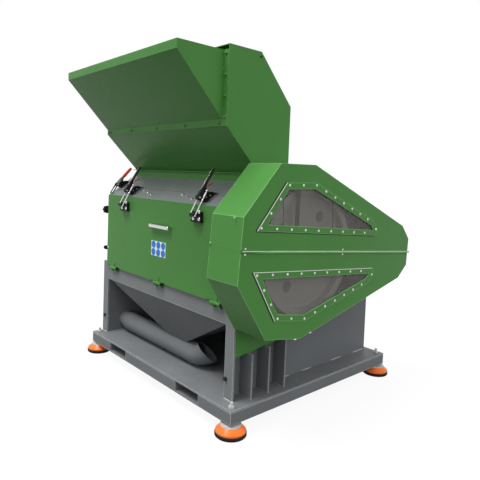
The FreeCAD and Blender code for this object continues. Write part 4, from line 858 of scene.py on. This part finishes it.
def lever_bodies(name, lever, xs, stations, slot, body):
    """One piece with the same rounded body along a lever at each of several x."""
    bm = bmesh.new()
    for x in xs:
        swept(bm, [rounded_ring(lever, x, *station) for station in stations])
    slot_piece(name, bm, slot, body)


def clamp_pins(side, x):
    """The heads of the lever's pin and of two rivets, on both sides of a clamp."""
    bm = bmesh.new()
    for sign in (-1, 1):
        out = x + sign * CLAMP_HALF
        revolve(bm, facing(at(out, *CLAMP_PIN), (sign, 0, 0)), hex_head(flats=13))
        for along, above in CLAMP_RIVETS:
            revolve(bm, facing(on_slope(out, along, above), (sign, 0, 0)), button_head(diameter=9))
    slot_piece(f"clamp_pins_{side}", bm, "zinc_steel")


def rod_nuts(side, x):
    """Two nuts and a threaded end on each of a draw loop's rods."""
    bm = bmesh.new()
    along = Vector((0, math.cos(ROD_TURN), math.sin(ROD_TURN)))
    for rod_x in (x - ROD_HALF_SPACING, x + ROD_HALF_SPACING):
        low = at(rod_x, DOOR_FACE - ROD_FORWARD, ROD_LOW)
        for far, rings in ROD_FITTINGS:
            revolve(bm, facing(low + along * far / 1000, along), rings)
    slot_piece(f"rod_nuts_{side}", bm, "zinc_steel", "door_leaf")


def clamp_fittings(side, x, body):
    """One big clamp's bright lever edge, grip, release tab, pin heads and rod nuts."""
    lever_bodies(f"lever_edge_{side}", CLAMP_LEVER, (x - LEVER_EDGE_ASIDE,), LEVER_EDGE,
                 "zinc_steel", body)
    lever_bodies(f"lever_grip_{side}", CLAMP_LEVER, (x,), LEVER_GRIP, "black_plastic", body)
    lever_bodies(f"release_tab_{side}", CLAMP_LEVER, (x,), RELEASE_TAB, "red_plastic", body)
    clamp_pins(side, x)
    rod_nuts(side, x)


def red_fittings():
    """The small clamp's red grip, its pin heads and the bright lever plates."""
    x = RED_CLAMP_X
    lever_bodies("red_grip", RED_LEVER, (x,), RED_GRIP, "red_plastic", "red_lever")
    bm = bmesh.new()
    for sign in (-1, 1):
        revolve(bm, facing(at(x + sign * RED_HALF, *RED_PIN), (sign, 0, 0)), hex_head(flats=12))
    slot_piece("red_clamp_pins", bm, "zinc_steel")
    lever_bodies("red_lever_plates", RED_LEVER, (x - RED_PLATE_OFF, x + RED_PLATE_OFF),
                 RED_PLATE, "zinc_steel", "red_lever")


# Stage, light and camera
FLOOR_SIZE = 60
FLOOR_DROP = 0.0005
CAMERA_PLACE = (2948.7, -1861.4, 1542.3)
CAMERA_YAW = math.radians(48.873)
CAMERA_PITCH = math.radians(3.052)
CAMERA_ROLL = math.radians(-2.076)
CAMERA_LENS = 36.51
CAMERA_SHIFT = (0.0229, -0.0811)


def seen_directly(tree):
    """1 for rays from the camera, in mirror reflections and through panes, 0 for soft light."""
    rays = add(tree, "ShaderNodeLightPath").outputs
    seen = maths(tree, "MAXIMUM", rays["Is Camera Ray"], rays["Is Glossy Ray"])
    return maths(tree, "MAXIMUM", seen, rays["Is Transmission Ray"])


def stage():
    """A floor that shows white, keeps the shadow and throws little light back."""
    bpy.ops.mesh.primitive_plane_add(size=FLOOR_SIZE, location=(0, 0, -FLOOR_DROP))
    floor = bpy.context.object
    floor.name = "floor"
    material = bpy.data.materials.new("floor_white")
    material.use_nodes = True
    tree = material.node_tree
    shader = tree.nodes["Principled BSDF"]
    shader.inputs["Base Color"].default_value = (0.06, 0.06, 0.06, 1)
    shader.inputs["Roughness"].default_value = 0.9
    shader.inputs["Specular IOR Level"].default_value = 0.1
    away = add(tree, "ShaderNodeVectorMath", {"operation": "LENGTH"}, i0=place_of(tree))
    level = ranged(tree, away.outputs["Value"], 2.0, 6.0, 0.92, 1.0)
    shader.inputs["Emission Color"].default_value = (1, 1, 1, 1)
    tree.links.new(maths(tree, "MULTIPLY", level, seen_directly(tree)),
                   shader.inputs["Emission Strength"])
    floor.data.materials.append(material)


def world():
    """Soft white light all round."""
    made = bpy.data.worlds.new("studio")
    bpy.context.scene.world = made
    made.use_nodes = True
    back = made.node_tree.nodes["Background"]
    back.inputs["Color"].default_value = (1, 1, 1, 1)
    back.inputs["Strength"].default_value = 1.0


def lamp(name, place, target, size, power):
    """A square lamp of a size in metres, turned to a target."""
    data = bpy.data.lights.new(name, "AREA")
    data.shape = "RECTANGLE"
    data.size = size
    data.size_y = size
    data.energy = power
    obj = bpy.data.objects.new(name, data)
    obj.location = place
    obj.rotation_euler = (Vector(target) - Vector(place)).to_track_quat("-Z", "Y").to_euler()
    bpy.context.scene.collection.objects.link(obj)


def camera():
    """The photograph's own viewpoint."""
    forward = Vector((-math.sin(CAMERA_YAW) * math.cos(CAMERA_PITCH),
                      math.cos(CAMERA_YAW) * math.cos(CAMERA_PITCH), -math.sin(CAMERA_PITCH)))
    right = Vector((math.cos(CAMERA_YAW), math.sin(CAMERA_YAW), 0))
    down = forward.cross(right)
    across = right * math.cos(CAMERA_ROLL) + down * math.sin(CAMERA_ROLL)
    up = right * math.sin(CAMERA_ROLL) - down * math.cos(CAMERA_ROLL)
    data = bpy.data.cameras.new("camera")
    data.sensor_width = 36.0
    data.lens = CAMERA_LENS
    data.shift_x, data.shift_y = CAMERA_SHIFT
    obj = bpy.data.objects.new("camera", data)
    bpy.context.scene.collection.objects.link(obj)
    turn = Matrix((across, up, -forward)).transposed().to_4x4()
    obj.matrix_world = Matrix.Translation(at(*CAMERA_PLACE)) @ turn
    bpy.context.scene.camera = obj


dress_nodes()
guard_fasteners()
guard_edges()
guard_inside()
hopper_fasteners()
motor_fins()
motor_grille()
motor_fasteners()
side_and_back_bolts()
front_fasteners()
clamp_fittings("left", CLAMP_XS[0], "left_lever")
clamp_fittings("right", CLAMP_XS[1], "right_lever")
red_fittings()
handle_bow()
hinge_caps()
label_plate()
foot_welds()

stage()
world()
lamp("key", place=(-1.2, -5.0, 12.0), target=(0, 0, 1.2), size=5.0, power=1450)
lamp("fill", place=(6.5, -1.0, 3.0), target=(0, 0, 1.0), size=3.0, power=62)
camera()
bpy.context.scene.view_settings.view_transform = "Standard"
